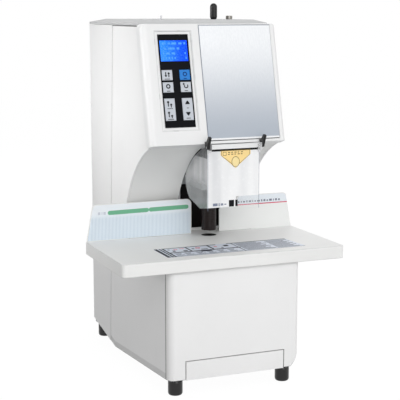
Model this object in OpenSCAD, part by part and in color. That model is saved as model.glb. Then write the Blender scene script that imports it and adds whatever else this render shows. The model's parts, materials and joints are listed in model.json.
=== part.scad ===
// Desk machine that drills a stack of paper and closes it with a plastic tube rivet.
// Frame: X to the right, Y to the rear, Z up, floor at Z = 0, origin under the middle
// of the bounding box. Heights are measured from the floor and depths from the fence line.

/* [Body] */
// Width of the body across its side panels
body_w = 250; // [240:1:260]
// Height of the body's upper edge
body_h = 640; // [630:1:650]
// Depth of the body behind the fence line
body_rear = 242; // [232:1:252]
// Distance of the base front ahead of the fence line
base_front = 201; // [195:1:206]
// Wall thickness of the outer covers
wall = 3; // [2.5:0.1:3.5]
// Visible gap between two neighbouring covers
panel_gap = 0.6; // [0.4:0.1:1]
// Radius of the upright outer corners
corner_r = 12; // [8:1:16]
// Width of the cut at the base front's lower right corner
corner_cut = 16; // [10:1:18]
// Rise of the domed lid above the body's upper edge
lid_rise = 7; // [5:0.5:9]
// Width of the sloped border of the lid
lid_border = 28; // [20:1:36]
// Height of the lid's upright rim
lid_rim = 4; // [3:0.5:6]
// Height of the front lower edge above the floor
skirt_front_z = 32; // [30:1:36]
// Lowest height of the side skirts, between the feet
skirt_low_z = 13; // [10:1:20]
// Height of the rear lower edge above the floor
skirt_rear_z = 41; // [34:1:48]
// Depth of the skirts' lowest point behind the fence line
skirt_low_y = 95; // [85:1:105]
// Depth of the seam to the rear cover at the top
seam_top_y = 88; // [80:1:96]
// Depth of the seam to the rear cover at the bottom
seam_bottom_y = 124; // [116:1:132]

/* [Feet and floor pan] */
// Height of the floor pan's underside above the floor
foot_h = 30; // [28:1:32]
// Diameter of a rubber foot
foot_d = 26; // [24:1:30]
// Distance of the feet from the middle plane
foot_x = 104; // [98:1:105]
// Distance of the front feet ahead of the fence line
foot_front = 175; // [165:1:180]
// Distance of the rear feet behind the fence line
foot_rear = 226; // [215:1:227]
// Sheet thickness of the pan, posts and brackets
sheet = 2; // [1.5:0.1:2.5]
// Height of the pan's upturned border
pan_rim = 18; // [12:1:24]

/* [Throat] */
// Radius of the throat's curved back
throat_r = 217; // [213:1:221]
// Distance of the curve's centre ahead of the fence line
throat_centre = 180.5; // [178:0.5:183]
// Height of the curve's centre above the floor
throat_centre_z = 221; // [219:0.5:223]
// Width of the slot in the throat liner
slot_w = 94; // [90:1:100]
// Distance of the slot's upper end ahead of the fence line
slot_front = 93; // [90:1:96]
// Sheet thickness of the throat liner
liner_t = 2; // [1.5:0.1:2.5]

/* [Table] */
// Width of the table
table_w = 420; // [400:1:440]
// Depth of the table ahead of the fence line
table_depth = 207.5; // [207:0.5:220]
// Height of the table's upper face
table_z = 247; // [244:1:252]
// Thickness of the table's edge
table_t = 23; // [20:1:26]
// Wall thickness of the table tray
table_wall = 3; // [2.5:0.1:4]
// Radius of the table's upright corners
table_corner = 6; // [3:1:12]
// Diameter of the cutting pad in the table
pad_d = 28; // [26:1:32]
// Thickness of the cutting pad
pad_t = 6; // [5:0.5:8]

/* [Fences] */
// Height of the fences above the table
fence_h = 67; // [60:1:74]
// Sheet thickness of a fence
fence_t = 2; // [1.5:0.1:3]
// Outer lower corner of both fences
fence_outer = 208; // [198:1:209]
// Inward lean of the outer edges
fence_lean = 12; // [6:1:16]
// Inner edge of the left fence
fence_left_in = -2; // [-10:1:0]
// Inner edge of the right fence
fence_right_in = 55; // [50:1:65]
// Radius of the inner upper corners
fence_r = 10; // [6:1:14]
// Height of the right fence's low inner part above the table
fence_low_h = 48; // [44:0.5:52]
// Distance of the right fence's step to the right of the middle
fence_step = 90; // [80:1:100]
// Least gap between a fence's upper edge and the throat's back
fence_clear = 3; // [2:0.5:6]

/* [Head] */
// Height of the reference point at the foot of the head's front face
face_z = 436; // [434:1:438]
// Distance of that point ahead of the fence line
face_front = 131; // [129:1:133]
// Backward lean of the front face in degrees
lean = 13.6; // [12.5:0.1:14.5]
// Radius of the head's corners, seen from the front
head_r = 11; // [7:1:13]
// Width of the head's front moulding
head_w = 261; // [256:1:270]
// Depth of the head's front moulding
head_d = 24; // [22:1:28]
// Wall thickness behind the face pockets
face_wall = 6; // [5.5:0.1:7]
// Left edge of the silver panel
panel_left = -23; // [-26:1:-20]
// Right edge of the silver panel
panel_right = 117; // [114:1:119]
// Length of the silver panel along the slope
panel_len = 206; // [200:1:207]
// Thickness of the silver panel
panel_t = 2; // [1.5:0.1:2.5]
// Depth of the silver panel's pocket
panel_pocket = 1.5; // [1:0.1:2]

/* [Controls] */
// Left edge of the black keypad overlay
overlay_left = -100; // [-103:1:-98]
// Width of the overlay
overlay_w = 57; // [54:1:60]
// Lower edge of the overlay along the slope
overlay_low = 27.5; // [25:0.5:30]
// Length of the overlay along the slope
overlay_len = 164.5; // [162:0.5:168]
// Thickness of the overlay
overlay_t = 1.2; // [1:0.1:1.5]
// Depth of the recess around the overlay
recess_depth = 3; // [2.5:0.1:3.5]
// Border left around the overlay in its recess
recess_border = 4.5; // [3:0.5:6]
// Width of the display window
lcd_w = 51; // [48:1:52]
// Height of the display window
lcd_h = 36.5; // [34:0.5:38]
// Lower edge of the display window along the slope
lcd_low = 144.5; // [143:0.5:147]
// Width of a key
key_w = 19.5; // [18:0.5:21]
// Height of a small key
key_h = 18; // [16:0.5:19]
// Height of a tall key
key_tall_h = 39; // [36:0.5:42]
// Travel of a key
key_travel = 0.5; // [0.3:0.1:0.6]
// Gap around a key
key_gap = 0.35; // [0.3:0.05:0.5]
// Lower edge of the tall keys along the slope
key_row_low = 40; // [38:0.5:42]
// Lower edge of the middle row of keys
key_row_mid = 89.5; // [88:0.5:91]
// Lower edge of the upper row of keys
key_row_top = 111; // [110:0.5:112]
// Left edge of the left column of keys
key_col_left = -98; // [-99:0.5:-97]
// Left edge of the right column of keys
key_col_right = -65; // [-66:0.5:-64]

/* [Guard] */
// Left outer face of the clear guard
guard_left = -25; // [-27:1:-24]
// Width of the clear guard
guard_w = 100; // [97:1:104]
// Height of the guard's front lower edge
guard_low = 318; // [312:1:324]
// Wall thickness of the guard
guard_t = 3; // [2.5:0.1:3.5]
// Gap between the guard's sides and the curved throat
guard_gap = 4; // [3:0.5:6]
// Distance of the guard's hinge pins ahead of the fence line
hinge_front = 139.5; // [139:0.5:142]
// Height of the guard's hinge pins
hinge_z = 427; // [426:0.5:428]
// Diameter of a hinge pin
hinge_pin_d = 4; // [3:0.5:5]
// Thickness of a hinge bracket
bracket_t = 5; // [4:0.5:6]

/* [Drill and press] */
// Distance of the drill axis to the right of the middle
drill_x = 25; // [23:1:27]
// Distance of the drill axis ahead of the fence line
drill_front = 20; // [18:1:22]
// Outer diameter of the ribbed press sleeve
sleeve_d = 28; // [26:1:30]
// Inner diameter of the press sleeve
sleeve_bore = 21; // [20:0.5:22]
// Height of the press sleeve above the table at rest
sleeve_lift = 10; // [8:0.5:12]
// Pitch of the sleeve's ribs
rib_pitch = 3; // [2.5:0.1:4]
// Upward travel of the press and of the drill
stroke = 50; // [45:1:52]
// Diameter of a guide rod
rod_d = 12; // [10:0.5:12]
// Distance between the two guide rods
rod_span = 64; // [60:1:66]
// Distance of the rods behind the fence line
rod_rear = 58; // [56:1:60]
// Outer diameter of the hollow drill bit
bit_d = 7; // [6:0.5:8]
// Bore of the hollow drill bit
bit_bore = 4; // [3:0.5:4.5]
// Diameter of the drill spindle
spindle_d = 16; // [14:0.5:17]
// Diameter of the feed screw
screw_d = 10; // [8:0.5:11]
// Radial clearance of running fits
run_fit = 0.08; // [0.05:0.01:0.1]
// Radius of the spindle's belt pulley
pulley_big_r = 20; // [18:0.5:21]
// Radius of the motor's belt pulley
pulley_small_r = 12; // [10:0.5:13]
// Distance between the motor's and the spindle's axes
motor_offset = 67; // [64:1:69]
// Radius of the drill motor
motor_r = 24; // [22:0.5:25]
// Pitch radius of the press pinion
pinion_r = 12; // [11:0.5:13]
// Height of the press pinion's axis
pinion_z = 400; // [396:1:404]

/* [Scrap drawer] */
// Width of the drawer's front
drawer_w = 187; // [180:1:192]
// Height of the drawer's upper edge above the floor
drawer_top = 64.4; // [60:0.2:70]
// Depth of the drawer
drawer_depth = 198; // [180:1:205]
// Wall thickness of the drawer box
drawer_wall = 2; // [1.5:0.1:3]
// Gap between the drawer's front and its frame
drawer_gap = 0.6; // [0.4:0.1:1]

/* [Top fittings] */
// Distance of the clearing rod to the right of the middle
knob_x = 34; // [33:0.5:36]
// Diameter of the clearing rod's knob
knob_d = 13; // [12:0.5:15]
// Height of the knob
knob_h = 29; // [26:1:32]
// Diameter of the clearing rod
clear_rod_d = 5; // [4:0.5:5]
// Distance of the rivet tube inlet to the right of the middle
inlet_x = 65; // [62:1:70]
// Outer diameter of the rivet tube inlet
inlet_d = 11.5; // [11:0.5:13]
// Bore of the rivet tube inlet
inlet_bore = 6; // [5:0.1:6.5]
// Height of the inlet above the lid
inlet_h = 7; // [5:0.5:9]
// Distance of the small peg to the left of the middle
peg_x = 62; // [58:1:66]
// Diameter of the small peg
peg_d = 5; // [4:0.5:6]
// Height of the small peg above the lid
peg_h = 8; // [6:0.5:10]

/* [Rear fittings] */
// Left edge of the power inlet
socket_x = -92; // [-95:1:-88]
// Height of the power inlet's lower edge
socket_z = 72; // [68:1:78]
// Width of the power inlet's body
socket_w = 30; // [28:0.5:32]
// Height of the power inlet's body
socket_h = 22; // [21:0.5:24]
// Width of the rocker switch
switch_w = 16; // [14:0.5:18]
// Height of the rocker switch
switch_h = 24; // [22:0.5:26]
// Radius of the rocker's pin
rocker_pin_r = 1.2; // [1:0.1:1.5]
// Diameter of a screw head
screw_head_d = 7; // [6:0.5:8]
// Height of a screw head
screw_head_h = 1.8; // [1.5:0.1:2.2]
// Number of slots in a vent field
vent_count = 8; // [5:1:9]

/* [Hidden] */
$fn = 64;
fit = 0.3;
bw = body_w / 2;
fence_y = -(body_rear + screw_head_h - table_depth) / 2;
skirt_top = table_z - table_wall;
rim_z = body_h - 3;
pan_top = foot_h + sheet;
rod_y = rod_rear;
arc_y = -throat_centre;
// The fences stand on the fence line, or further forward where a tight throat needs it
fence_at = min(0, arc_y + sqrt(pow(throat_r, 2) - pow(table_z + fence_h - throat_centre_z, 2)) - fence_clear);
drill_y = fence_at - drill_front;
lip_z = table_z - table_wall + 0.2;
lip_rear = arc_y + sqrt(pow(throat_r + liner_t, 2) - pow(lip_z - throat_centre_z, 2)) - 0.3;
key_rows = [key_row_low, key_row_mid, key_row_top];
key_cols = [key_col_left, key_col_right];
face_len = (body_h - face_z) / cos(lean);
face_low = -8.5;
head_back_y = -face_front + head_d / cos(lean);
overlay_cx = overlay_left + overlay_w / 2;
pulley_z = 505;
pulley_h = 12;
bracket_z = body_h - 50;
bracket_h = 10;
low_bracket_z = table_z - 35;
low_bracket_h = 10;
arm_z = table_z + 88;
arm_h = 15;
head_z = arm_z + arm_h + stroke + 20;
plate_z = head_z + 70;
frame_y = rod_y + 14;
frame_t = 6;
frame_left = drill_x - 41;
frame_right = drill_x + 67;
rack_x = drill_x - 56;
rack_w = 10;
motor_x = drill_x - motor_offset;
column_top = bracket_z;
post_size = 17;
switch_x = socket_x + socket_w + 22;
tab_x = bw + 5;

// Height of the lower edge of the skirts at a depth y
function skirt_z(y) = y < skirt_low_y
    ? skirt_front_z + (skirt_low_z - skirt_front_z) * (y + base_front) / (skirt_low_y + base_front)
    : skirt_low_z + (skirt_rear_z - skirt_low_z) * (y - skirt_low_y) / (body_rear - skirt_low_y);
// Depth of the rear seam at a height z
function seam_y(z) = seam_bottom_y + (seam_top_y - seam_bottom_y) * z / body_h;
// Depth of the leaning face at a height z
function face_y(z) = -face_front + (z - face_z) * tan(lean);
// Depth of the plane behind the head's moulding at a height z
function back_y(z) = head_back_y + (z - face_z) * tan(lean);

module from_fence() { translate([0, fence_y, 0]) children(); }
// Local frame of the leaning face: X right, Y inward, Z up along the slope
module on_face() { from_fence() translate([0, -face_front, face_z]) rotate([-lean, 0, 0]) children(); }
// Extrudes a Y-Z outline along X from x0 to x1
module along_x(x0, x1) { translate([x0, 0, 0]) rotate([90, 0, 90]) linear_extrude(x1 - x0) children(); }
// Extrudes an X-Z outline along Y from y0 to y1
module along_y(y0, y1) { translate([0, y1, 0]) rotate([90, 0, 0]) linear_extrude(y1 - y0) children(); }
module box(a, b) { translate(a) cube(b - a); }
module rod_x(x0, x1, y, z, r) { translate([x0, y, z]) rotate([0, 90, 0]) cylinder(r = r, h = x1 - x0); }
module rod_y_dir(y0, y1, x, z, r) { translate([x, y1, z]) rotate([90, 0, 0]) cylinder(r = r, h = y1 - y0); }
module rod_z(x, y, z0, z1, r) { translate([x, y, z0]) cylinder(r = r, h = z1 - z0); }
module round_rect(x0, y0, x1, y1, r) {
    translate([x0 + r, y0]) square([x1 - x0 - 2 * r, y1 - y0]);
    translate([x0, y0 + r]) square([x1 - x0, y1 - y0 - 2 * r]);
    for (x = [x0 + r, x1 - r]) for (y = [y0 + r, y1 - r]) translate([x, y]) circle(r = r);
}
// Points of an arc around [cx, cz] from angle a0 to a1
function arc(cx, cz, r, a0, a1) =
    [for (i = [0:8]) let (a = a0 + (a1 - a0) * i / 8) [cx + r * cos(a), cz + r * sin(a)]];
// Space of the throat above the table, with its curved back at radius r
module throat_space(r, z0, half) {
    intersection() {
        rod_x(-half, half, arc_y, throat_centre_z, r);
        box([-half, -400, z0], [half, arc_y + r + 1, z0 + 300]);
    }
}

// Outline of the pan in plan, drawn in by an inset
module pan_outline(inset) {
    x = bw - wall - fit - inset;
    round_rect(-x, -base_front + 6, x, body_rear - wall - fit - inset, corner_r - wall - fit - inset);
}

module floor_pan() {
    color([0.62, 0.63, 0.64]) from_fence() difference() {
        translate([0, 0, foot_h]) linear_extrude(pan_rim) pan_outline(0);
        translate([0, 0, pan_top]) linear_extrude(pan_rim) pan_outline(sheet);
        box([-bw, -base_front, pan_top], [bw, -base_front + 6 + corner_r, foot_h + pan_rim + 1]);
        // Clearance to the cut at the lower right corner
        box([bw - 30, -base_front, pan_top],
            [bw, -base_front + 18 + corner_cut * 1.5, foot_h + pan_rim + 1]);
        translate([0, 0, foot_h - 1]) linear_extrude(pan_rim) polygon([[bw - corner_cut - 3, -base_front],
            [bw + 1, -base_front], [bw + 1, -base_front + corner_cut * 3]]);
        for (x = [-foot_x, foot_x]) for (y = [-foot_front, foot_rear]) rod_z(x, y, 0, 60, 2.6);
    }
}

module rubber_feet() {
    color([0.05, 0.05, 0.05]) from_fence() for (x = [-foot_x, foot_x]) for (y = [-foot_front, foot_rear])
        translate([x, y, 0]) difference() {
            union() {
                cylinder(d1 = foot_d - 3, d2 = foot_d, h = 3);
                translate([0, 0, 3]) cylinder(d = foot_d, h = foot_h - 9);
                translate([0, 0, foot_h - 6]) cylinder(d1 = foot_d, d2 = foot_d - 5, h = 6);
                translate([0, 0, foot_h - 1]) cylinder(r = 2.5, h = 10);
                translate([0, 0, pan_top]) cylinder(r = 5, h = 3, $fn = 6);
            }
            translate([0, 0, -1]) cylinder(r = 4, h = 5);
        }
}

module post(x0, y0, sx, sy, z0, z1) {
    box([min(x0, x0 + sx * post_size), min(y0, y0 + sy * sheet), z0],
        [max(x0, x0 + sx * post_size), max(y0, y0 + sy * sheet), z1]);
    box([min(x0, x0 + sx * sheet), min(y0, y0 + sy * post_size), z0],
        [max(x0, x0 + sx * sheet), max(y0, y0 + sy * post_size), z1]);
}

module corner_posts() {
    px = bw - wall - fit - sheet;
    // How far a rear post stands in from the covers, to clear their rounded corner
    post_in = (corner_r - wall) * (1 - 1 / sqrt(2)) + fit;
    color([0.62, 0.63, 0.64]) from_fence() for (s = [-1, 1]) {
        post(s * (px - post_in), body_rear - wall - fit - sheet - post_in, -s, -1, pan_top, rim_z - 8);
        post(s * px, seam_top_y - 8, -s, -1, pan_top, rim_z - 8);
        box([min(s * px, s * (px - 12)), seam_top_y - 10, rim_z - 10],
            [max(s * px, s * (px - 12)), body_rear - wall - fit - sheet, rim_z - 8]);
    }
}

// The base front seen from ahead, with its cut corner, drawn in by an inset
module front_outline(inset) {
    x = bw - inset;
    z = skirt_front_z;
    polygon([[-x, z - 1], [x - corner_cut, z - 1], [x - corner_cut, z], [x, z + corner_cut * 1.4],
        [x, skirt_top + 1], [-x, skirt_top + 1]]);
}

module front_cover() {
    dw = drawer_w / 2 + drawer_gap;
    color([0.93, 0.93, 0.92]) from_fence() difference() {
        intersection() {
            translate([0, 0, skirt_front_z]) linear_extrude(skirt_top - skirt_front_z)
                round_rect(-bw, -base_front, bw, 0, corner_r);
            along_y(-base_front - 1, 1) front_outline(0);
        }
        intersection() {
            translate([0, 0, skirt_front_z - 1]) linear_extrude(skirt_top - skirt_front_z + 2)
                round_rect(-bw + wall, -base_front + wall, bw - wall, -wall, corner_r - wall);
            along_y(-base_front - 1, 1) front_outline(wall);
        }
        box([-bw - 1, -base_front + 16, 0], [bw + 1, 10, 300]);
        box([-dw, -base_front - 1, 0], [dw, -base_front + wall + 1, drawer_top + drawer_gap]);
    }
}

// Outline of a side panel, whose lower front corner may be cut
module side_outline(cut) {
    y0 = -base_front + 16 + panel_gap;
    top_y = back_y(rim_z - panel_gap) + fit;
    low = throat_centre_z + throat_r * 0.8;
    polygon([[y0, skirt_z(y0) + cut], [y0 + cut * 1.5 + 0.1, skirt_z(y0 + cut * 1.5 + 0.1)],
        [skirt_low_y, skirt_low_z], [seam_y(skirt_low_z), skirt_z(seam_y(skirt_low_z))],
        [seam_y(rim_z), rim_z - panel_gap], [top_y, rim_z - panel_gap], [back_y(low) + fit, low],
        [back_y(low) + fit, skirt_top], [y0, skirt_top]]);
}

module side_panel(cut) {
    color([0.93, 0.93, 0.92]) from_fence() difference() {
        along_x(bw - wall, bw) side_outline(cut);
        throat_space(throat_r, table_z, bw + 10);
        box([bw - wall - 1, -base_front - 5, skirt_top], [bw + 1, fence_at + fence_t + fit, table_z + 30]);
    }
}
module side_panel_left() { mirror([1, 0, 0]) side_panel(0); }
module side_panel_right() { side_panel(corner_cut); }

module rear_cover() {
    g = panel_gap;
    color([0.91, 0.91, 0.90]) from_fence() difference() {
        intersection() {
            linear_extrude(rim_z - g) difference() {
                round_rect(-bw, 0, bw, body_rear, corner_r);
                round_rect(-bw + wall, wall, bw - wall, body_rear - wall, corner_r - wall);
            }
            along_x(-bw - 1, bw + 1) polygon([[seam_y(skirt_low_z) + g, skirt_z(seam_y(skirt_low_z) + g)],
                [body_rear + 1, skirt_rear_z], [body_rear + 1, rim_z], [seam_y(rim_z) + g, rim_z]]);
        }
        box([socket_x, body_rear - wall - 1, socket_z],
            [socket_x + socket_w, body_rear + 1, socket_z + socket_h]);
        box([switch_x, body_rear - wall - 1, socket_z],
            [switch_x + switch_w, body_rear + 1, socket_z + switch_h]);
        for (z0 = [140, body_h - 90]) for (x0 = [-75, 15]) for (i = [0:vent_count - 1])
            box([x0, body_rear - wall - 1, z0 + i * 7], [x0 + 60, body_rear + 1, z0 + i * 7 + 3]);
        rear_screw_spots(body_rear - wall - 1, body_rear + 1, 2.1);
    }
}

// One rod at each of the rear cover's screws
module rear_screw_spots(y0, y1, r) {
    for (x = [-bw + 14, bw - 14]) for (z = [70, 250, 430, body_h - 30]) rod_y_dir(y0, y1, x, z, r);
}

module cover_screws() {
    color([0.75, 0.75, 0.76]) from_fence() {
        rear_screw_spots(body_rear, body_rear + screw_head_h, screw_head_d / 2);
        rear_screw_spots(body_rear - wall - fit, body_rear + 0.1, 1.9);
        fence_screw_spots(fence_at + fence_t, fence_at + fence_t + screw_head_h, screw_head_d / 2);
        fence_screw_spots(fence_at - table_wall, fence_at + fence_t + 0.1, 1.6);
    }
}

module lid_outline(inset) {
    b = bw - inset;
    low = rim_z - 1 - inset * 20;
    edge = rim_z + lid_rim - inset;
    top = body_h + lid_rise - inset;
    polygon([[-b, low], [-b, edge], [-b + lid_border, top], [b - lid_border, top], [b, edge], [b, low]]);
}

module top_cover() {
    y0 = back_y(body_h) + panel_gap;
    color([0.92, 0.92, 0.91]) from_fence() difference() {
        intersection() {
            along_y(y0, body_rear) lid_outline(0);
            translate([0, 0, rim_z - 5]) linear_extrude(lid_rise + 20)
                round_rect(-bw, y0 - 40, bw, body_rear, corner_r);
            along_x(-bw - 1, bw + 1) polygon([[y0 - 5, rim_z], [y0 - 5, body_h + lid_rise + 1],
                [body_rear - lid_border, body_h + lid_rise + 1], [body_rear - lid_border, body_h + lid_rise],
                [body_rear - 6, body_h + 1], [body_rear, rim_z + 1], [body_rear, rim_z]]);
        }
        intersection() {
            along_y(y0 + wall, body_rear - wall) lid_outline(wall);
            translate([0, 0, rim_z - 5]) linear_extrude(lid_rise + 20)
                round_rect(-bw + wall, y0 - 40, bw - wall, body_rear - wall, corner_r - wall);
            along_x(-bw - 1, bw + 1) polygon([[y0, rim_z - 1], [y0, body_h + lid_rise + 1],
                [body_rear - lid_border - 2, body_h + lid_rise + 1],
                [body_rear - lid_border - 2, body_h + lid_rise - wall],
                [body_rear - 8, body_h + 1 - wall], [body_rear - wall - 1, rim_z - 1]]);
        }
        rod_z(knob_x, drill_y, body_h - 20, body_h + 20, clear_rod_d / 2 + run_fit);
        rod_z(inlet_x, drill_y, body_h - 20, body_h + 20, inlet_bore / 2 + 1.5);
        rod_z(-peg_x, 0, body_h - 20, body_h + 20, peg_d / 2);
    }
}

module throat_liner() {
    half = bw - wall - fit;
    rear = lip_rear + 20;
    color([0.86, 0.86, 0.85]) from_fence() difference() {
        union() {
            difference() {
                intersection() {
                    throat_space(throat_r + liner_t, lip_z, half);
                    along_x(-half, half) polygon([[back_y(face_z - 36) - 4, face_z - 36],
                        [back_y(face_z - 36) - 4, table_z - 7], [rear, table_z - 7], [rear, body_h - 140],
                        [back_y(body_h - 140) + head_d, body_h - 140], [back_y(face_z + 4) + fit, face_z + 4],
                        [back_y(face_z - 36) + fit, face_z - 36]]);
                }
                throat_space(throat_r, table_z - 10, half + 10);
            }
            box([-half, fence_at + fence_t + fit, lip_z], [half, lip_rear, lip_z + liner_t]);
        }
        box([drill_x - slot_w / 2, -slot_front, table_z + 4], [drill_x + slot_w / 2, rear, body_h]);
    }
}

// Outline of the head in its leaning face, drawn in by an inset
module head_outline(inset) {
    x = head_w / 2 - inset;
    round_rect(-x, face_low + inset, x, face_len + 60, head_r - inset);
}
// Outline of the head seen from ahead, up to its upper corners
module head_top_outline(inset) {
    x = head_w / 2 - inset;
    round_rect(-x, face_z - 80, x, body_h - inset, head_r - inset);
}

module head_moulding() {
    hw = head_w / 2;
    g = fit;
    rl = overlay_left - recess_border;
    rr = overlay_left + overlay_w + recess_border;
    rb = overlay_low - recess_border;
    rt = overlay_low + overlay_len + recess_border;
    color([0.95, 0.95, 0.94]) difference() {
        on_face() difference() {
            intersection() {
                translate([0, 0, face_low]) linear_extrude(face_len + 30) difference() {
                    round_rect(-hw, 0, hw, head_d + 20, corner_r);
                    translate([-hw - 1, head_d]) square([head_w + 2, 30]);
                }
                along_y(-1, head_d + 1) head_outline(0);
            }
            box([panel_left - g, -1, 2 - g], [panel_right + g, panel_pocket, 2 + panel_len + g]);
            box([rl, -1, rb], [rr, recess_depth, rt]);
            box([overlay_cx - lcd_w / 2 - g, 0, lcd_low - g],
                [overlay_cx + lcd_w / 2 + g, face_wall + 1, lcd_low + lcd_h + g]);
            for (k = [0:5]) translate([key_cols[k % 2] - key_gap, 0, key_rows[floor(k / 2)] - key_gap])
                cube([key_w + 2 * key_gap, face_wall + 1, key_size(k) + 2 * key_gap]);
        }
        // Hollow behind the face wall, open to the rear
        intersection() {
            on_face() translate([0, 0, face_low - 5]) linear_extrude(face_len + 30)
                round_rect(-hw + wall, face_wall, hw - wall, head_d + 40, corner_r - wall);
            on_face() along_y(0, head_d + 40) head_outline(wall);
            from_fence() difference() {
                along_y(-200, 200) head_top_outline(wall);
                throat_space(throat_r + 4, table_z - 10, hw + 5);
            }
        }
        from_fence() box([-hw - 5, -200, body_h], [hw + 5, 200, body_h + 100]);
        from_fence() for (s = [-1, 1]) along_y(-200, 100) translate([s * (hw - head_r), body_h - head_r])
            difference() {
                translate([s > 0 ? 0 : -head_r - 5, 0]) square(head_r + 5);
                circle(r = head_r);
            }
        from_fence() throat_space(throat_r, table_z, hw + 5);
    }
    // Bosses that carry the key board
    color([0.95, 0.95, 0.94]) on_face() for (x = [overlay_left + 3, overlay_left + overlay_w - 3])
        for (z = [overlay_low + 4, 137]) translate([x, face_wall, z]) rotate([-90, 0, 0])
            cylinder(r = 2.4, h = board_n - face_wall);
}
board_n = 14.5;
function key_size(k) = k < 2 ? key_tall_h : key_h;

module face_panel() {
    color([0.78, 0.80, 0.83]) on_face()
        box([panel_left, panel_pocket - panel_t, 2], [panel_right, panel_pocket, 2 + panel_len]);
}

module keypad_overlay() {
    n0 = recess_depth - overlay_t;
    color([0.04, 0.05, 0.08]) on_face() difference() {
        box([overlay_left, n0, overlay_low],
            [overlay_left + overlay_w, recess_depth, overlay_low + overlay_len]);
        box([overlay_cx - lcd_w / 2 - fit, n0 - 1, lcd_low - fit],
            [overlay_cx + lcd_w / 2 + fit, recess_depth + 1, lcd_low + lcd_h + fit]);
        for (k = [0:5]) translate([key_cols[k % 2] - key_gap, n0 - 1, key_rows[floor(k / 2)] - key_gap])
            cube([key_w + 2 * key_gap, overlay_t + 2, key_size(k) + 2 * key_gap]);
    }
}

module display_window() {
    color([0.1, 0.35, 1]) on_face() box([overlay_cx - lcd_w / 2, recess_depth - overlay_t + 0.2, lcd_low],
        [overlay_cx + lcd_w / 2, face_wall, lcd_low + lcd_h]);
}

module display_module() {
    color([0.15, 0.15, 0.16]) on_face() box([overlay_cx - lcd_w / 2 - 4, face_wall, lcd_low - 3],
        [overlay_cx + lcd_w / 2 + 4, board_n, lcd_low + lcd_h + 4]);
}

module key_board() {
    color([0.1, 0.35, 0.2]) on_face() {
        box([overlay_left, board_n, overlay_low],
            [overlay_left + overlay_w, board_n + 1.6, overlay_low + overlay_len]);
        for (k = [0:5])
            translate([key_cols[k % 2] + key_w / 2 - 3, 10.4, key_rows[floor(k / 2)] + key_size(k) / 2 - 3])
                cube([6, board_n - 10.4, 6]);
    }
}

module key_cap(k, c) {
    color(c) on_face() {
        box([key_cols[k % 2], recess_depth - overlay_t - 0.5, key_rows[floor(k / 2)]],
            [key_cols[k % 2] + key_w, 8.2, key_rows[floor(k / 2)] + key_size(k)]);
        translate([key_cols[k % 2] + key_w / 2, 8.1, key_rows[floor(k / 2)] + key_size(k) / 2])
            rotate([-90, 0, 0]) cylinder(r = 2, h = 2.2 - key_travel - 0.1);
    }
}
module key_mode() { key_cap(0, [0.75, 0.77, 0.8]); }
module key_adjust() { key_cap(1, [0.75, 0.77, 0.8]); }
module key_set() { key_cap(2, [0.75, 0.77, 0.8]); }
module key_return() { key_cap(3, [0.75, 0.77, 0.8]); }
module key_up() { key_cap(4, [0.75, 0.77, 0.8]); }
module key_start() { key_cap(5, [0.05, 0.45, 0.8]); }

module table_tray() {
    color([0.9, 0.9, 0.89]) from_fence() difference() {
        translate([0, 0, table_z - table_t]) linear_extrude(table_t) difference() {
            round_rect(-table_w / 2, -table_depth, table_w / 2, fence_at + 2 * table_corner, table_corner);
            translate([-table_w, fence_at]) square([2 * table_w, 50]);
        }
        box([-table_w / 2 + table_wall, -table_depth + table_wall, table_z - table_t - 1],
            [table_w / 2 - table_wall, fence_at - table_wall, table_z - table_wall]);
        box([-bw - 1, fence_at - table_wall - 1, table_z - table_t - 1],
            [bw + 1, fence_at + 10, table_z - table_wall]);
        rod_z(drill_x, drill_y, table_z - 10, table_z + 10, pad_d / 2 + fit / 2);
        fence_screw_spots(fence_at - table_wall - 1, 1, 1.6);
    }
}

module cutting_pad() {
    color([0.03, 0.03, 0.03]) from_fence() difference() {
        rod_z(drill_x, drill_y, table_z - 0.5 - pad_t, table_z - 0.5, pad_d / 2);
        rod_z(drill_x, drill_y, table_z - 20, table_z + 20, bit_d / 2 + 1.5);
    }
}

// Outline of a fence, measured outward from the middle plane. From its inner edge to the step
// it has the height low_h, and beyond the step its full height
module fence_outline(inner, step, low_h) {
    top = table_z + fence_h;
    low = table_z - table_t + 2;
    r = fence_r - 3;
    tilt = atan(fence_lean / fence_h);
    stepped = step > inner;
    polygon(concat([[inner, table_z], [tab_x, table_z], [tab_x, low], [fence_outer - 4, low],
        [fence_outer - 4, table_z], [fence_outer, table_z]],
        arc(fence_outer - fence_lean - r * tan(45 - tilt / 2), top - r, r, tilt, 90),
        arc(step + fence_r, top - fence_r, fence_r, 90, 180),
        stepped ? [[step, table_z + low_h]] : [],
        stepped ? arc(inner + r, table_z + low_h - r, r, 90, 180) : []));
}

// One rod at each of the fences' screws
module fence_screw_spots(y0, y1, r) {
    for (s = [-1, 1]) for (x = [bw + 18, fence_outer - 16])
        rod_y_dir(y0, y1, s * x, table_z - table_t / 2, r);
}

module fence_plate(inner, step, low_h) {
    from_fence() difference() {
        along_y(fence_at, fence_at + fence_t) fence_outline(inner, step, low_h);
        fence_screw_spots(fence_at - 1, fence_at + fence_t + 1, 1.8);
    }
}
module fence_left() {
    color([0.87, 0.91, 0.94]) mirror([1, 0, 0]) fence_plate(-fence_left_in, -fence_left_in, fence_h);
}
module fence_right() { color([0.9, 0.9, 0.89]) fence_plate(fence_right_in, fence_step, fence_low_h); }

module guard_side(x0, x1) {
    along_x(x0, x1) polygon([[-face_front - 2, guard_low], [-97, guard_low - 6], [-46, guard_low + 6],
        [-36, guard_low + 16], [-28.5, guard_low + 29], [-26, guard_low + 42], [-29, guard_low + 56],
        [-29, hinge_z + 5.5], [-hinge_front - 5, hinge_z + 5.5], [-hinge_front - 5, hinge_z - 6],
        [-face_front - 2, hinge_z - 12]]);
}

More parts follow.
